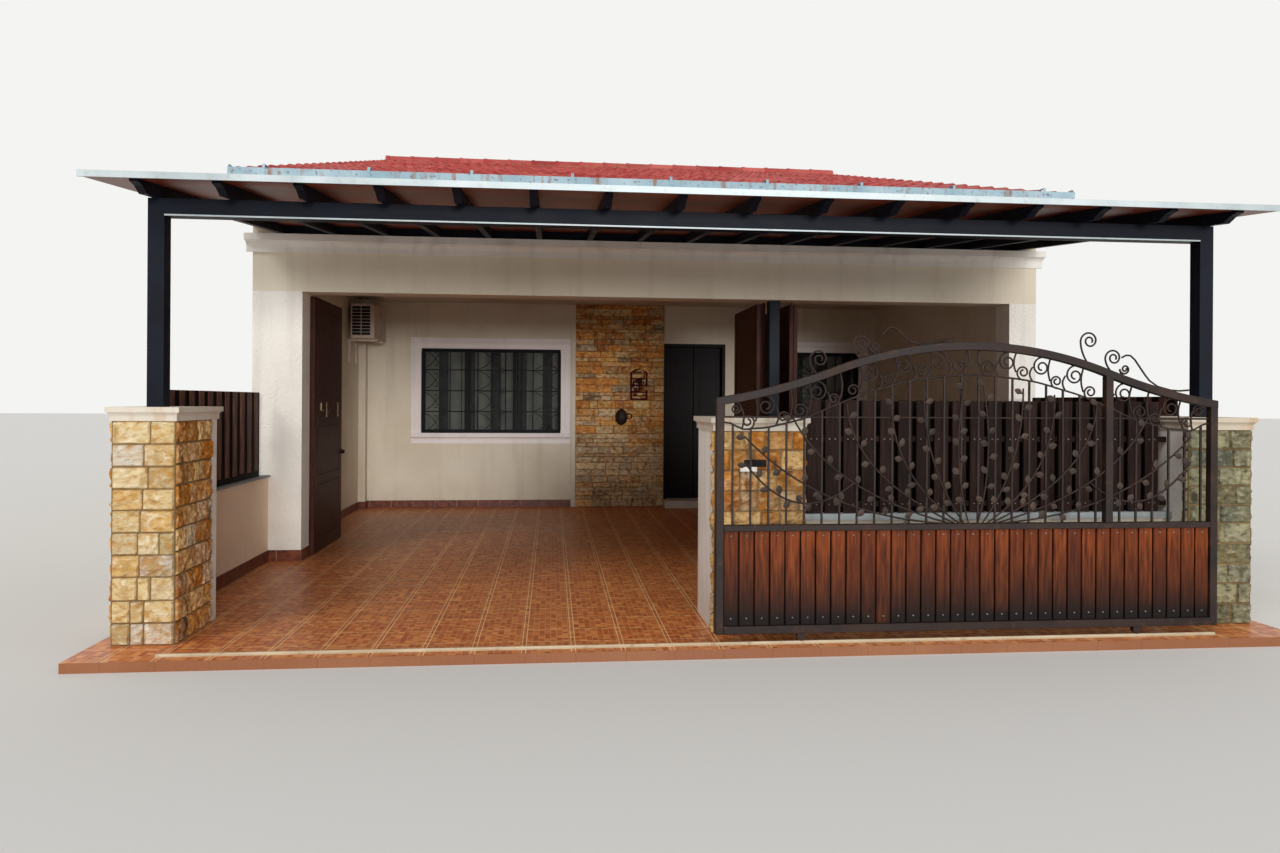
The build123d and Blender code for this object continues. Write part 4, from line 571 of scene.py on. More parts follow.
stone_piles = {"cream": Pile(), "ochre": Pile(), "grey": Pile()}
clad_pillar("left_gate_pillar", stone_piles["cream"], stone_piles["ochre"], STONE_SIDE, STONE_SIDE)
clad_pillar("middle_gate_pillar", stone_piles["ochre"], stone_piles["ochre"], 0.05, 0.05)
clad_pillar("right_gate_pillar", stone_piles["grey"], stone_piles["grey"], 0.05, 0.05)
for tint, material in (("cream", cream_stone), ("ochre", ochre_stone), ("grey", grey_shaded_stone)):
    stone_piles[tint].make("pillar_sandstone_" + tint, material, "block_stone")
pillar_mortar.make("pillar_joints", mortar, "block_stone")

pier_low, pier_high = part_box("stone_clad_pier")
ledger_stone = Pile()
stone_field(ledger_stone, (pier_low.x, pier_low.y, 0), RIGHT, pier_high.x - pier_low.x,
            (0.06, pier_high.z), 0.078, 0.24, 0.013, 0.014, 0.004, (8, 4), 0.5)
ledger_stone.make("pier_ledger_stone", ledger, "ledger_stone")

# Roof: tiles on a deck, slope by slope, and collars on the ridge
TILE_WIDTH = 0.30
TILE_COURSE = 0.326
ROLL_STEPS = 8
ROOF_PITCH = math.radians(15.5)
ROOF_STACK = 0.11 / math.cos(ROOF_PITCH)


def tiled_slope(name, slope):
    """Double-roll tiles laid in courses up one slope, on a plain deck."""
    low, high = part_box(slope)
    front = low.y < 5
    eave_y, ridge_y = (low.y, high.y) if front else (high.y, low.y)
    up_slope = Vector((0, ridge_y - eave_y, math.tan(ROOF_PITCH) * abs(ridge_y - eave_y)))
    eave = Vector((0, eave_y, low.z + ROOF_STACK))
    length = up_slope.length
    up_slope.normalize()
    out = Vector((0, -up_slope.z, up_slope.y)) if front else Vector((0, up_slope.z, -up_slope.y))
    count = round(length / TILE_COURSE)
    course = length / count
    tiles = round((high.x - low.x) / TILE_WIDTH)
    width = (high.x - low.x) / tiles
    steps = 2 * ROLL_STEPS
    waves = [max(0.0, math.sin(2 * math.pi * step / ROLL_STEPS)) for step in range(steps + 1)]
    pile = Pile()
    for row in range(count):
        foot = row * course - (0.02 if row else 0.0)
        head = (row + 1) * course
        for column in range(tiles):
            lift = rng.uniform(-0.012, -0.008)
            pile.shell([[eave + up_slope * s + out * (rise + roll * wave)
                         + Vector((low.x + width * (column + step / steps), 0, 0))
                         for step, wave in enumerate(waves)]
                        for s, rise, roll in ((foot, -0.034, 0.0), (foot, lift, 0.02),
                                              (head, -0.032, 0.018), (head, -0.044, 0.0))], not front)
    pile.make(name + "_tiles", roof_tile, "roof_tile")
    under = [(x, eave_y, low.z) for x in (low.x, high.x)] + [
        (x, ridge_y, low.z + up_slope.z * length) for x in (low.x, high.x)]
    deck_top = Vector((0, 0, ROOF_STACK - 0.036))
    deck = Pile()
    deck.part(under + [Vector(point) + deck_top for point in under],
              [(0, 1, 3, 2), (4, 6, 7, 5), (0, 4, 5, 1), (2, 3, 7, 6), (0, 2, 6, 4), (1, 5, 7, 3)])
    deck.make(name + "_deck", cream_coat, "roof_tile", replaces=(slope,))


tiled_slope("front_slope", "front_roof_slope")
tiled_slope("rear_slope", "rear_roof_slope")

ridge_low, ridge_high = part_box("ridge_tiles")
ridge_y = (ridge_low.y + ridge_high.y) / 2
RIDGE_SIDES = 16
RIDGE_TILES = 19
COLLAR = 0.05


def ridge_row(x, share):
    """Points over the ridge at one place along it."""
    half = (ridge_high.y - ridge_low.y) / 2 * share
    rise = (ridge_high.z - ridge_low.z) * share
    return [(x, ridge_y + half * math.cos(math.pi * side / RIDGE_SIDES),
             ridge_low.z + rise * math.sin(math.pi * side / RIDGE_SIDES))
            for side in range(RIDGE_SIDES + 1)]


ridge = Pile()
ridge_step = (ridge_high.x - ridge_low.x) / RIDGE_TILES
for index in range(RIDGE_TILES):
    x0 = ridge_low.x + index * ridge_step
    x1 = x0 + ridge_step
    ridge.shell([ridge_row(x0, 1.0), ridge_row(x0 + COLLAR, 0.99), ridge_row(x0 + COLLAR + 0.002, 0.94),
                 ridge_row(x1, 0.91), ridge_row(x1, 0.8), ridge_row(x0, 0.86)])
ridge.make("ridge_row", roof_tile, "roof_tile", smooth=False, replaces=("ridge_tiles",))
bed = Pile()
BED_STEPS = 96
for side in (-1, 1):
    rows = []
    for reach, top in ((0.1, 0.0), (0.1, 0.02), (0.122, 0.016), (0.134, -0.03)):
        rows.append([(ridge_low.x + (ridge_high.x - ridge_low.x) * step / BED_STEPS,
                      ridge_y + side * (reach + rng.uniform(-0.003, 0.003) * (top < 0.02)),
                      ridge_low.z + top - 0.03 * (top == 0.0)) for step in range(BED_STEPS + 1)])
    bed.shell(rows, side > 0)
bed.make("ridge_bedding", mortar, "roof_tile")

def tube(name, runs, radius, material, body="house", replaces=()):
    """Round rods along runs of points."""
    curve = bpy.data.curves.new(name, "CURVE")
    curve.dimensions = "3D"
    curve.bevel_depth = radius
    curve.bevel_resolution = 2
    curve.use_fill_caps = True
    for points in runs:
        spline = curve.splines.new("POLY")
        spline.points.add(len(points) - 1)
        for knot, point in zip(spline.points, points):
            knot.co = (*point, 1)
    curve.materials.append(material)
    piece = bpy.data.objects.new(name, curve)
    bpy.context.scene.collection.objects.link(piece)
    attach(piece, body)
    if replaces:
        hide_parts(*replaces)
    return piece


def curl(centre, radius, start, turn, turns=1.1, steps=14, plane_y=0.0, shrink=0.35):
    """Points of a scroll that winds in from its rim, in a plane across the house."""
    return [(centre[0] + radius * shrink ** t * math.cos(start + turn * 2 * math.pi * turns * t), plane_y,
             centre[1] + radius * shrink ** t * math.sin(start + turn * 2 * math.pi * turns * t))
            for t in [step / steps for step in range(steps + 1)]]


# Slats on the closed fences along the side walls
fence_low, fence_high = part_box("boundary_fences")
slats = Pile()
SLAT_PITCH = 0.18
SLAT_WIDTH = 0.085
SLAT_FOOT = 0.912
for face, out in ((-3.707, 1), (3.707, -1)):
    first = fence_low.y + 0.12
    for index in range(int((fence_high.y - first) / SLAT_PITCH)):
        y0 = fence_high.y - (index + 1) * SLAT_PITCH + rng.uniform(0.0, 0.006) + 0.02
        slats.box(sorted((face, face + out * rng.uniform(0.010, 0.013))), (y0, y0 + SLAT_WIDTH),
                  (SLAT_FOOT + rng.uniform(0.0, 0.01), fence_high.z))
slats.make("boundary_fence_slats", slat_wood, "brown_timber", bevel=0.003)

# Fence between the gate pillars: boards on both faces of two rails
FENCE_BOARDS = 20
fence_low, fence_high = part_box("front_fence")
bay = (fence_high.x - fence_low.x - 0.12) / FENCE_BOARDS
rail_y = (-2.68, -2.64)
fence = Pile()
# Boards on the back face of the rails, in near-black timber as painted shade behind the gaps
backs = Pile()
screws = Pile()
for index in range(FENCE_BOARDS):
    x = fence_low.x + 0.06 + bay * (index + 0.5)
    fence.box((x - 0.05, x + 0.05), (fence_low.y, rail_y[0]), (fence_low.z, fence_high.z))
    if index:
        backs.box((x - bay / 2 - 0.05, x - bay / 2 + 0.05), (rail_y[1], rail_y[1] + 0.018),
                  (fence_low.z, fence_high.z - 0.004))
    for z in (0.87, 1.315):
        for side in (-0.02, 0.02):
            screws.disc((x + side, fence_low.y, z), (0, -1, 0), 0.006, 0.002, 8, 0.002)
for z in (fence_low.z + 0.04, 1.295):
    fence.box((fence_low.x, fence_high.x), rail_y, (z, z + 0.04))
fence.make("front_fence_boards", fence_wood, "brown_timber", bevel=0.004, replaces=("front_fence",))
backs.make("front_fence_shade_backs", painted_shade_timber, "brown_timber", bevel=0.003)
screws.make("front_fence_bolts", wheel_steel, "steel", smooth=True)

# Gate: leaves on the vines, and boards with bolts
gate_low, gate_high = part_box("gate_frame")
gate_x = (gate_low.x + gate_high.x) / 2
gate_y = (gate_low.y + gate_high.y) / 2
GROUND = 0.06
VINES = (
    ((0.030, 0.740), (0.150, 1.150), (0.060, 1.640)), ((0.060, 0.740), (0.330, 1.100), (0.330, 1.600)),
    ((0.090, 0.740), (0.560, 1.050), (0.540, 1.560)), ((0.120, 0.740), (0.800, 1.050), (0.830, 1.500)),
    ((0.150, 0.740), (0.950, 0.950), (1.180, 1.420)), ((0.180, 0.740), (1.000, 0.790), (1.480, 1.290)),
    ((0.780, 1.000), (1.150, 0.690), (1.480, 1.130)),
)
STILE = (2.502, 2.552)


def leaf(pile, centre, angle, length, width):
    """A pressed leaf that lies flat against the bars, with a raised rib. Its short stalk is added to the vine rods by
    the caller.
    """
    across = Vector((math.cos(angle), 0, math.sin(angle)))
    side = Vector((-math.sin(angle), 0, math.cos(angle)))
    out = Vector((0, -1, 0))
    rib = [Vector(centre) + across * (length * (t - 0.5)) + out * (0.006 * math.sin(math.pi * t) + 0.002)
           for t in (0, 0.25, 0.5, 0.75, 1)]
    rims = [[Vector(centre) + across * (length * (t - 0.5)) + side * (s * width / 2 * w) + out * 0.001
             for t, w in ((0.12, 0.55), (0.4, 1.0), (0.68, 0.85), (0.9, 0.4))] for s in (-1, 1)]
    points = rib + rims[0] + rims[1]
    faces = []
    for start, flip in ((5, False), (9, True)):
        run = [(0, start, 1), (1, start, start + 1), (1, start + 1, 2), (2, start + 1, start + 2),
               (2, start + 2, 3), (3, start + 2, start + 3), (3, start + 3, 4)]
        faces += [tuple(reversed(face)) if flip else face for face in run]
    pile.part(points, faces)


def along_vine(root, bend, tip, place):
    """Point and direction at one place along a vine, from 0 at its root to 1 at its tip."""
    weights = ((1 - place) ** 2, 2 * place * (1 - place), place ** 2)
    point = [sum(w * p[i] for w, p in zip(weights, (root, bend, tip))) for i in (0, 1)]
    run = [2 * (1 - place) * (bend[i] - root[i]) + 2 * place * (tip[i] - bend[i]) for i in (0, 1)]
    return point, run


leaves = Pile()
leaf_y = gate_y - 0.012
vine_runs = []
for side in (-1, 1):
    for root, bend, tip in VINES:
        points = [along_vine(root, bend, tip, step / 16)[0] for step in range(17)]
        vine_runs.append([(gate_x + side * x, gate_y - 0.009, z + GROUND) for x, z in points])
        place = 0.16
        sign = 1
        while place < 1.0:
            (x, z), run = along_vine(root, bend, tip, place)
            angle = math.atan2(run[1], run[0] * side) + sign * rng.uniform(0.7, 1.2)
            spot = (gate_x + side * x, z + GROUND)
            reach = rng.uniform(0.03, 0.042)
            centre = (spot[0] + reach * math.cos(angle), leaf_y, spot[1] + reach * math.sin(angle))
            if not STILE[0] - 0.04 < centre[0] < STILE[1] + 0.04:
                leaf(leaves, centre, angle, rng.uniform(0.044, 0.056), rng.uniform(0.034, 0.042))
                vine_runs.append([(spot[0], gate_y - 0.009, spot[1]), centre])
            place += rng.uniform(0.085, 0.12)
            sign = -sign
leaf_piece = leaves.make("gate_leaves", leaf_paint, "wrought_iron", "gate")
thick = leaf_piece.modifiers.new("Thickness", "SOLIDIFY")
thick.thickness = 0.003
thick.offset = 1

GATE_BOARDS = 33
board_low, board_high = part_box("gate_boards")
pitch = (board_high.x - board_low.x + 0.01) / GATE_BOARDS
boards = Pile()
# Strips behind the gaps between planks, in near-black timber as painted shade in the gaps
backing = Pile()
bolts = Pile()
for index in range(GATE_BOARDS):
    x = board_low.x + pitch * index
    boards.box((x, x + pitch - 0.01), (board_low.y, board_high.y), (board_low.z, board_high.z))
    backing.box((x + pitch - 0.025, x + pitch + 0.015), (board_high.y, board_high.y + 0.003),
                (board_low.z, board_high.z))
    for z in (board_low.z + 0.045, board_high.z - 0.03):
        bolts.disc((x + (pitch - 0.01) / 2, board_low.y, z), (0, -1, 0), 0.006, 0.002, 8, 0.002)
boards.make("gate_planks", board_wood, "brown_timber", "gate", bevel=0.003, replaces=("gate_boards",))
backing.make("gate_plank_shade_strips", painted_shade_timber, "brown_timber", "gate")
bolts.make("gate_bolts", wheel_steel, "steel", "gate", smooth=True)


def clip(pile, low, high):
    """A plate between two corners."""
    pile.box((low[0], high[0]), (low[1], high[1]), (low[2], high[2]))


# Letter flap on the middle pillar, under a black plate that is painted shade in the letter slot
plate = Pile()
clip(plate, (0.190, -2.934, 1.143), (0.335, -2.9, 1.188))
plate.make("letter_slot_shade", black_paint, "window_steel", bevel=0.002)
flap = Pile()
clip(flap, (0.163, -2.938, 1.112), (0.272, -2.9, 1.143))
flap.make("letter_flap", white_coat, "white_render", bevel=0.002)

# Light strip under the canopy beam, a painted highlight on its lower edge, and straps on the gutters
highlight_strip = Pile()
BEAM_X = (-3.485, 3.499)
BEAM_FOOT = 2.715
beam_low, beam_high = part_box("canopy_beam")
clip(highlight_strip, (BEAM_X[0], beam_low.y - 0.003, BEAM_FOOT), (BEAM_X[1], beam_low.y, BEAM_FOOT + 0.010))
highlight_strip.make("canopy_beam_highlight_strip", fascia_paint, "fascia_metal")

straps = Pile()
gutter_low, gutter_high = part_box("gutters")
for index in range(9):
    x = gutter_low.x + 0.3 + index * (gutter_high.x - gutter_low.x - 0.6) / 8
    for y0 in (gutter_low.y, gutter_high.y - 0.14):
        clip(straps, (x - 0.012, y0, gutter_high.z - 0.004), (x + 0.012, y0 + 0.14, gutter_high.z))
    clip(straps, (x - 0.012, gutter_low.y - 0.003, gutter_low.z + 0.036),
         (x + 0.012, gutter_low.y, gutter_high.z))
straps.make("gutter_straps", gutter_paint, "gutter_metal")

# Capitals and bases of the window pilasters
blocks = Pile()
PILASTER = 0.135
for centre, width, face, side in ((-1.895, 1.95, 4.18, -1), (2.595, 1.70, 4.18, -1), (-1.9, 1.95, 13.4, 1)):
    for edge in (-1, 1):
        jamb = centre + edge * (width + PILASTER) / 2
        for z0, z1 in ((1.107, 1.147), (2.254, 2.294)):
            near = face + side * 0.044
            blocks.box((jamb - PILASTER / 2 - 0.004, jamb + PILASTER / 2 + 0.004), sorted((face, near)), (z0, z1))
blocks.make("pilaster_blocks", moulded_coat, "white_render", bevel=0.003)

# Ornament of the window grilles: crossed bows in every other bay
grille_runs = []
for centre, width, plane in ((-1.895, 1.95, 4.199), (2.595, 1.70, 4.199), (-1.9, 1.95, 13.381)):
    cell = (width / 5, 1.187 / 4)
    for column in range(5):
        for row in range(4):
            x = centre + (column - 2) * cell[0]
            z = 1.107 + (row + 0.5) * cell[1]
            half_x, half_z = cell[0] / 2 - 0.02, cell[1] / 2 - 0.02
            if column % 2:
                for s in (-1, 1):
                    grille_runs.append([(x + s * 0.03, plane, z - half_z - 0.015),
                                        (x + s * 0.03, plane, z + half_z + 0.015)])
                continue
            for s in (-1, 1):
                grille_runs.append([(x + half_x * t, plane, z + s * half_z * (t + 0.22 * math.sin(math.pi * t)))
                                    for t in [k / 6 - 1 for k in range(13)]])
                grille_runs.append(curl((x, z + s * half_z * 0.6), half_z * 0.26, math.pi / 2 * -s, s, 0.8,
                                        plane_y=plane))
tube("window_grille_curls", grille_runs, 0.005, black_paint)

# Gate frame: an arched top rail, stiles and rails of square tube
GATE_TUBE = 0.05
APEX, TURN, CORNER, TURN_INSET = 1.892, 1.726, 1.529, 0.75
MID_RAIL = (0.702, 0.740)
GATE_FOOT = 0.066
HALF_GATE = (gate_high.x - gate_low.x) / 2
ARCH_STEPS = 80


def arch_height(place):
    """Height of the gate's top edge above the floor, at a distance from its middle."""
    turn_x = HALF_GATE - TURN_INSET
    fall = APEX - TURN
    crown = (turn_x ** 2 + fall ** 2) / (2 * fall)
    if place <= turn_x:
        return APEX - crown + math.sqrt(crown ** 2 - place ** 2)
    out = (turn_x / crown, (crown - fall) / crown)
    run = (TURN_INSET, CORNER - TURN)
    flare = (run[0] ** 2 + run[1] ** 2) / (2 * (run[0] * out[0] + run[1] * out[1]))
    centre = (turn_x + flare * out[0], TURN + flare * out[1])
    return centre[1] - math.sqrt(flare ** 2 - (place - centre[0]) ** 2)


def gate_top(x):
    """Height of the gate's top edge at a place across the house."""
    return arch_height(abs(x - gate_x)) + GROUND


gate_steel = Pile()
across = [gate_low.x + 2 * HALF_GATE * step / ARCH_STEPS for step in range(ARCH_STEPS + 1)]
rail_rows = [[(x, y, gate_top(x) - drop) for x in across]
             for y, drop in ((gate_low.y, 0.0), (gate_low.y, 0.0515), (gate_high.y, 0.0515), (gate_high.y, 0.0))]
gate_steel.shell(rail_rows, True)
depth = (gate_low.y, gate_high.y)
inset = (gate_low.y + 0.001, gate_high.y - 0.001)
for x in (gate_low.x + 0.001, gate_high.x - GATE_TUBE - 0.001):
    gate_steel.box((x, x + GATE_TUBE), inset, (GROUND + GATE_FOOT, gate_top(x + GATE_TUBE / 2) - 0.03))
gate_steel.box(STILE, inset, (GROUND + MID_RAIL[1], gate_top(STILE[0]) - 0.035))
for z in ((GATE_FOOT, GATE_FOOT + GATE_TUBE), MID_RAIL):
    gate_steel.box((gate_low.x + GATE_TUBE + 0.001, gate_high.x - GATE_TUBE - 0.001), depth,
                   (GROUND + z[0], GROUND + z[1]))
gate_steel.make("gate_tubes", iron_paint, "wrought_iron", "gate", bevel=0.004, replaces=("gate_frame",))

# Ironwork in the gate: bars up to a bell-shaped rod, a thin cross rod and scrolls over and under the arch
ROD_DROPS = ((0.0, 0.150), (0.05, 0.160), (0.2, 0.232), (0.35, 0.25), (0.56, 0.257), (0.74, 0.243),
             (1.0, 0.230), (1.3, 0.215), (1.7, 0.208))


def rod_height(x):
    """Height of the bell-shaped rod, by even steps between the drops below the arch."""
    place = min(x - gate_low.x, gate_high.x - x)
    for (near, first), (far, second) in zip(ROD_DROPS, ROD_DROPS[1:]):
        if place <= far:
            share = (1 - math.cos(math.pi * (place - near) / (far - near))) / 2
            return gate_top(x) - first - (second - first) * share
    return gate_top(x) - ROD_DROPS[-1][1]


def even_places(low, high, pitch):
    """Centres of the equal bays nearest to a pitch that fill a span."""
    count = round((high - low) / pitch)
    return [low + (high - low) * (index + 0.5) / count for index in range(count)]


irons = Pile()
bays = ((gate_low.x + GATE_TUBE, STILE[0]), (STILE[1], gate_high.x - GATE_TUBE))
for bay_low, bay_high in bays:
    for x in even_places(bay_low, bay_high, 0.113):
        irons.box((x - 0.006, x + 0.006), (gate_y - 0.006, gate_y + 0.006), (GROUND + MID_RAIL[1], rod_height(x)))
irons.make("gate_uprights", iron_paint, "wrought_iron", "gate", bevel=0.001, replaces=("gate_bars",))

rods = []
scroll_runs = []
for bay_low, bay_high in bays:
    rods.append([(x, gate_y, rod_height(x)) for x in
                 [bay_low + (bay_high - bay_low) * step / 60 for step in range(61)]])
    rods.append([(bay_low, gate_y, GROUND + 1.41), (bay_high, gate_y, GROUND + 1.41)])
SCROLLS = ((0.125, 0.04, 1), (0.2, 0.05, -1), (0.315, 0.064, 1), (0.425, 0.045, -1), (0.53, 0.058, -1),
           (0.64, 0.068, 1), (0.745, 0.045, -1), (0.87, 0.05, -1), (0.975, 0.066, 1), (1.1, 0.045, -1),
           (1.2, 0.064, 1), (1.325, 0.05, -1), (1.43, 0.064, 1), (1.56, 0.056, -1))
for side in (-1, 1):
    for place, radius, turn in SCROLLS:
        x = gate_x + side * (HALF_GATE - place)
        if STILE[0] - radius < x < STILE[1] + radius:
            continue
        high = gate_top(x) - 0.0515
        z = high - radius + 0.002 if turn > 0 else rod_height(x) + radius - 0.002
        scroll_runs.append(curl((x, z), radius, turn * math.pi / 2, side * turn, 1.5, 30, gate_y, 0.3))
        reach = x - side * radius * 0.98
        far = rod_height(reach) if turn > 0 else gate_top(reach) - 0.0515
        scroll_runs.append([(x - side * radius * (0.98 + 0.3 * math.sin(math.pi * t)), gate_y,
                             z + (far - z) * t) for t in [k / 8 for k in range(9)]])
TOP_SCROLLS = ((0.654, 0.062, 0.082, 1), (0.93, 0.058, 0.088, 1), (1.012, 0.036, 0.046, -1),
               (2.441, 0.062, 0.14, 1), (2.606, 0.058, 0.09, 1), (2.684, 0.036, 0.046, -1))
for place, radius, rise, turn in TOP_SCROLLS:
    x = gate_low.x + place
    z = gate_top(x) + rise
    scroll_runs.append(curl((x, z), radius, math.pi, -turn, 1.6, 34, gate_y, 0.28))
    foot = x - radius + 0.05
    scroll_runs.append([(x - radius + 0.05 * t ** 2, gate_y, z + (gate_top(foot) - 0.01 - z) * t)
                        for t in [k / 8 for k in range(9)]])
STEM = ((0.0, 0.112), (0.03, 0.138), (0.06, 0.146), (0.09, 0.13), (0.124, 0.094), (0.16, 0.055), (0.192, 0.026),
        (0.25, 0.004), (0.34, 0.004), (0.4, 0.014), (0.467, 0.034))
for start in (1.06, 2.661):
    scroll_runs.append([(gate_low.x + start + place, gate_y, gate_top(gate_low.x + start + place) + rise)
                        for place, rise in STEM])
tube("gate_rods", rods, 0.006, iron_paint, "gate")
tube("gate_scrolls", scroll_runs, 0.006, iron_paint, "gate")
tube("gate_vine_rods", vine_runs, 0.0058, iron_paint, "gate", replaces=("gate_vines",))

# Curtains on rods inside the three windows
ROD_HEIGHT = 2.42
ROD_RADIUS = 0.012
CURTAIN_FOOT = 1.02
FOLD_STEPS = 10
ROD_ENDS = 0.12
rods = []
for name, centre, width, wall_y, inward in (("curtain_left", -1.895, 1.95, 4.33, 1),
                                            ("curtain_right", 2.595, 1.70, 4.33, 1),
                                            ("curtain_rear", -1.9, 1.95, 13.25, -1)):
    rod_y = wall_y + inward * 0.09
    half = width / 2 + 0.06
    rods.append([(centre - half - ROD_ENDS / 2, rod_y, ROD_HEIGHT), (centre + half + ROD_ENDS / 2, rod_y, ROD_HEIGHT)])
    for edge in (-1, 1):
        end = centre + edge * (half + 0.03)
        rods.append([(end, wall_y, ROD_HEIGHT), (end, rod_y, ROD_HEIGHT)])
    folds = round(width / 0.19)
    places = [0.0]
    for _ in range(folds):
        places.append(places[-1] + rng.uniform(0.75, 1.25))
    across = []
    for fold in range(folds):
        depth = rng.uniform(0.03, 0.045)
        for step in range(FOLD_STEPS):
            x = centre - half + 2 * half * (places[fold] + (places[fold + 1] - places[fold]) * step / FOLD_STEPS) / places[-1]
            across.append((x, depth * math.sin(2 * math.pi * step / FOLD_STEPS)))
    across.append((centre + half, 0.0))
    drops = [ROD_HEIGHT - (ROD_HEIGHT - CURTAIN_FOOT) * row / 14 for row in range(15)]
    mesh = bpy.data.meshes.new(name)
    count = len(across)
    mesh.from_pydata([(x, rod_y + swing * (1 - 0.25 * row / 14), z) for row, z in enumerate(drops) for x, swing in across], [],
                     [(r * count + c, (r + 1) * count + c, (r + 1) * count + c + 1, r * count + c + 1)
                      for r in range(14) for c in range(count - 1)])
    mesh.materials.append(curtain_cloth)
    mesh.polygons.foreach_set("use_smooth", [True] * len(mesh.polygons))
    curtain = bpy.data.objects.new(name, mesh)
    bpy.context.scene.collection.objects.link(curtain)
    thick = curtain.modifiers.new("Thickness", "SOLIDIFY")
    thick.thickness = 0.0015
    thick.offset = 0
    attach(curtain, "house")
curtain_rods = tube("curtain_rods", rods, ROD_RADIUS, bronze)

# Air conditioner: black plates in its end, painted shade in its slots, and rings over its fan
unit_low, unit_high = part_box("air_conditioner")
unit_x = (-3.63, -3.33)
unit_z = (2.36, 2.80)
slots = Pile()
for column in (0, 1):
    for row in range(9):
        x = unit_x[0] + 0.02 + column * 0.118
        z = unit_z[0] + 0.04 + row * 0.042
        clip(slots, (x, unit_low.y - 0.002, z), (x + 0.108, unit_low.y + 0.001, z + 0.034))
slots.make("air_unit_slot_shade", black_paint, "window_steel")
fan_centre = ((unit_low.y + unit_high.y) / 2, (unit_z[0] + unit_z[1]) / 2)
rings = []
for radius in (0.03, 0.055, 0.08, 0.105, 0.13, 0.155, 0.172):
    rings.append([(unit_x[1] - 0.003, fan_centre[0] + radius * math.cos(a), fan_centre[1] + radius * math.sin(a))
                  for a in [2 * math.pi * k / 32 for k in range(33)]])
for k in range(8):
    a = 2 * math.pi * k / 8
    rings.append([(unit_x[1] - 0.003, fan_centre[0] + r * math.cos(a), fan_centre[1] + r * math.sin(a))
                  for r in (0.0, 0.172)])
tube("air_unit_fan_guard", rings, 0.0025, unit_paint)

# Fittings of the left folding doors: back plates, a bolt and a knob
fittings = Pile()
fold_face = -3.327
for share in (0.42, 0.85):
    y = 0.28 + share * 1.12
    clip(fittings, (fold_face, y - 0.02, 1.385), (fold_face + 0.004, y + 0.02, 1.535))
clip(fittings, (fold_face, 0.28 + 0.2 * 1.12, 1.45), (fold_face + 0.012, 0.28 + 0.3 * 1.12, 1.462))
clip(fittings, (fold_face, 0.28 + 0.2 * 1.12, 1.45), (fold_face + 0.012, 0.28 + 0.2 * 1.12 + 0.012, 1.53))
fittings.make("folding_door_fittings", bronze, "steel", bevel=0.001)
knob = Pile()
knob.disc((fold_face + 0.0, 1.39, 1.0), (1, 0, 0), 0.022, 0.02, 16, 0.02)
knob.make("folding_door_knob", black_paint, "window_steel", smooth=True)

# Wall ornament: a domed body over the oval, and studs and bars in the plaque
dome = Pile()
ornament = (-0.058, 1.342)
steps = 24
rows = [(1.0, 0.045), (0.99, 0.055), (0.85, 0.075), (0.6, 0.09), (0.3, 0.098)]
points = [(ornament[0] + 0.085 * r * math.cos(a), 4.15 - h, ornament[1] + 0.115 * r * math.sin(a))
          for r, h in rows for a in [2 * math.pi * k / steps for k in range(steps)]]
points.append((ornament[0], 4.15 - 0.1, ornament[1]))
faces = [(r * steps + k, r * steps + (k + 1) % steps, (r + 1) * steps + (k + 1) % steps, (r + 1) * steps + k)
         for r in range(len(rows) - 1) for k in range(steps)]
last = (len(rows) - 1) * steps
faces += [(last + k, last + (k + 1) % steps, len(points) - 1) for k in range(steps)]
dome.part(points, faces)
dome.make("ornament_dome", iron_paint, "plaque", smooth=True)

relief = Pile()
for index in range(5):
    x = 0.191 + (index - 2) * 0.034
    clip(relief, (x - 0.006, 4.128, 1.64), (x + 0.006, 4.137, 1.93))
for z in (1.66, 1.75, 1.84):
    clip(relief, (0.108, 4.126, z - 0.008), (0.274, 4.137, z + 0.008))
for z in (1.705, 1.795, 1.885):
    relief.disc((0.191, 4.136, z), (0, -1, 0), 0.02, 0.008, 12, 0.008)
relief.make("plaque_relief", plaque_paint, "plaque", bevel=0.002)

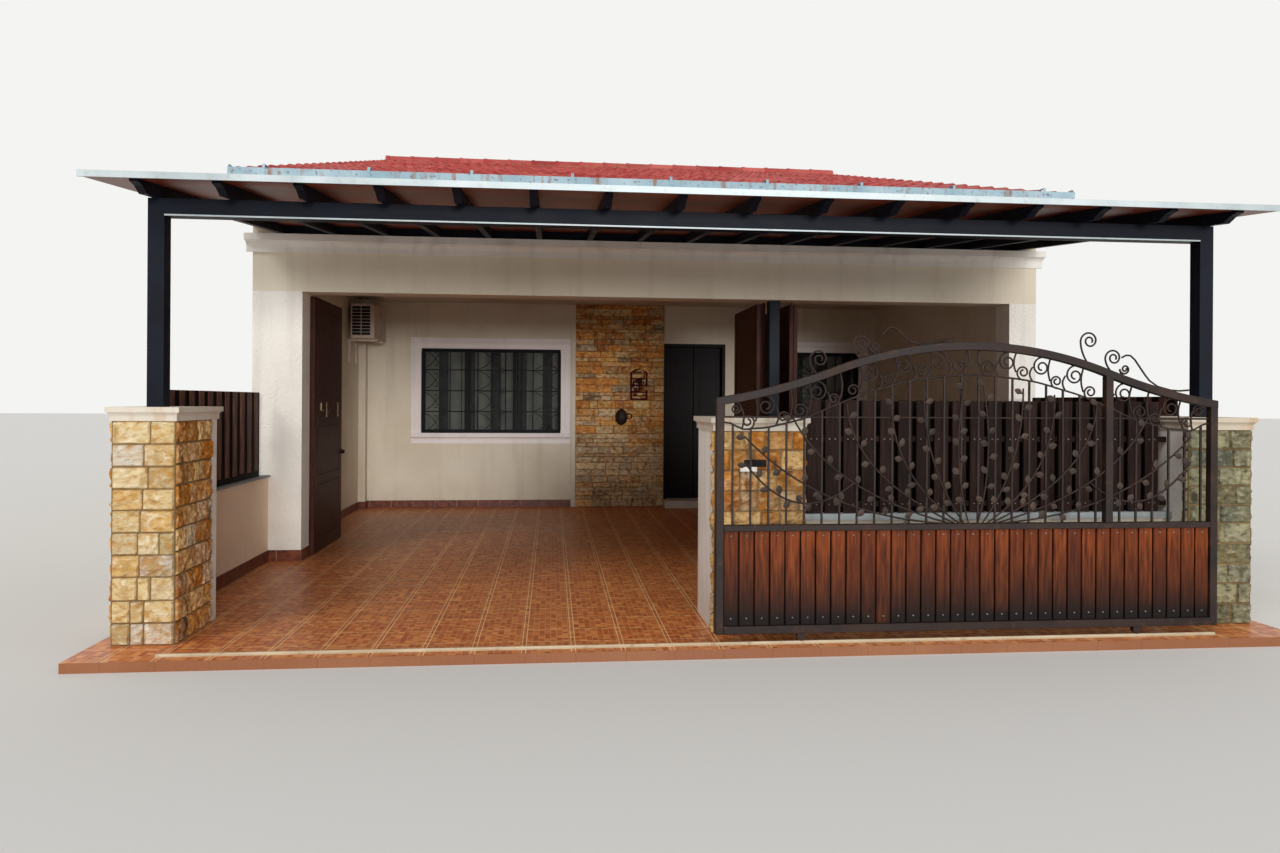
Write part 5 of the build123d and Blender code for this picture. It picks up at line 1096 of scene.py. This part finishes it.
# Camera, lights and stage
camera_data = bpy.data.cameras.new("Camera")
camera_data.lens = 25.17
camera_data.sensor_width = 36
camera_data.shift_y = -0.0193
camera = bpy.data.objects.new("Camera", camera_data)
yaw = math.radians(5.66)
roll = math.radians(0.34)
camera.matrix_world = (Matrix.Translation((-1.055, -8.62, 1.56)) @ Matrix.Rotation(-yaw, 4, "Z")
                       @ Matrix.Rotation(math.pi / 2, 4, "X") @ Matrix.Rotation(roll, 4, "Z"))
bpy.context.scene.collection.objects.link(camera)
bpy.context.scene.camera = camera

stage_mesh = bpy.data.meshes.new("Floor")
stage_mesh.from_pydata([(-90, -90, 0), (90, -90, 0), (90, 90, 0), (-90, 90, 0)], [], [(0, 1, 2, 3)])
stage = bpy.data.objects.new("Floor", stage_mesh)
bpy.context.scene.collection.objects.link(stage)
stage_shade = Shade("Studio floor", 0.9)
stage_shade.colour(rgb("dcdad6"))
stage_mesh.materials.append(stage_shade.material)

world = bpy.data.worlds.new("Studio")
bpy.context.scene.world = world
world.use_nodes = True
tree = world.node_tree
background = tree.nodes["Background"]
background.inputs["Color"].default_value = WHITE
background.inputs["Strength"].default_value = 0.68
backdrop = tree.nodes.new("ShaderNodeBackground")
backdrop.inputs["Color"].default_value = rgb("f4f4f2")
path = tree.nodes.new("ShaderNodeLightPath")
blend = tree.nodes.new("ShaderNodeMixShader")
seen = path.outputs["Is Camera Ray"]
for ray in ("Is Glossy Ray", "Is Transmission Ray"):
    either = tree.nodes.new("ShaderNodeMath")
    either.operation = "MAXIMUM"
    tree.links.new(seen, either.inputs[0])
    tree.links.new(path.outputs[ray], either.inputs[1])
    seen = either.outputs[0]
tree.links.new(seen, blend.inputs["Fac"])
tree.links.new(background.outputs["Background"], blend.inputs[1])
tree.links.new(backdrop.outputs["Background"], blend.inputs[2])
tree.links.new(blend.outputs["Shader"], tree.nodes["World Output"].inputs["Surface"])

for lamp, power, spread, tilt, swing in (("Key", 0.85, 20, 50, -38), ("Fill", 1.7, 16, 85, 10)):
    sun_data = bpy.data.lights.new(lamp, "SUN")
    sun_data.energy = power
    sun_data.angle = math.radians(spread)
    sun = bpy.data.objects.new(lamp, sun_data)
    sun.rotation_euler = (math.radians(tilt), 0, math.radians(swing))
    bpy.context.scene.collection.objects.link(sun)

bpy.context.scene.view_settings.view_transform = "Standard"
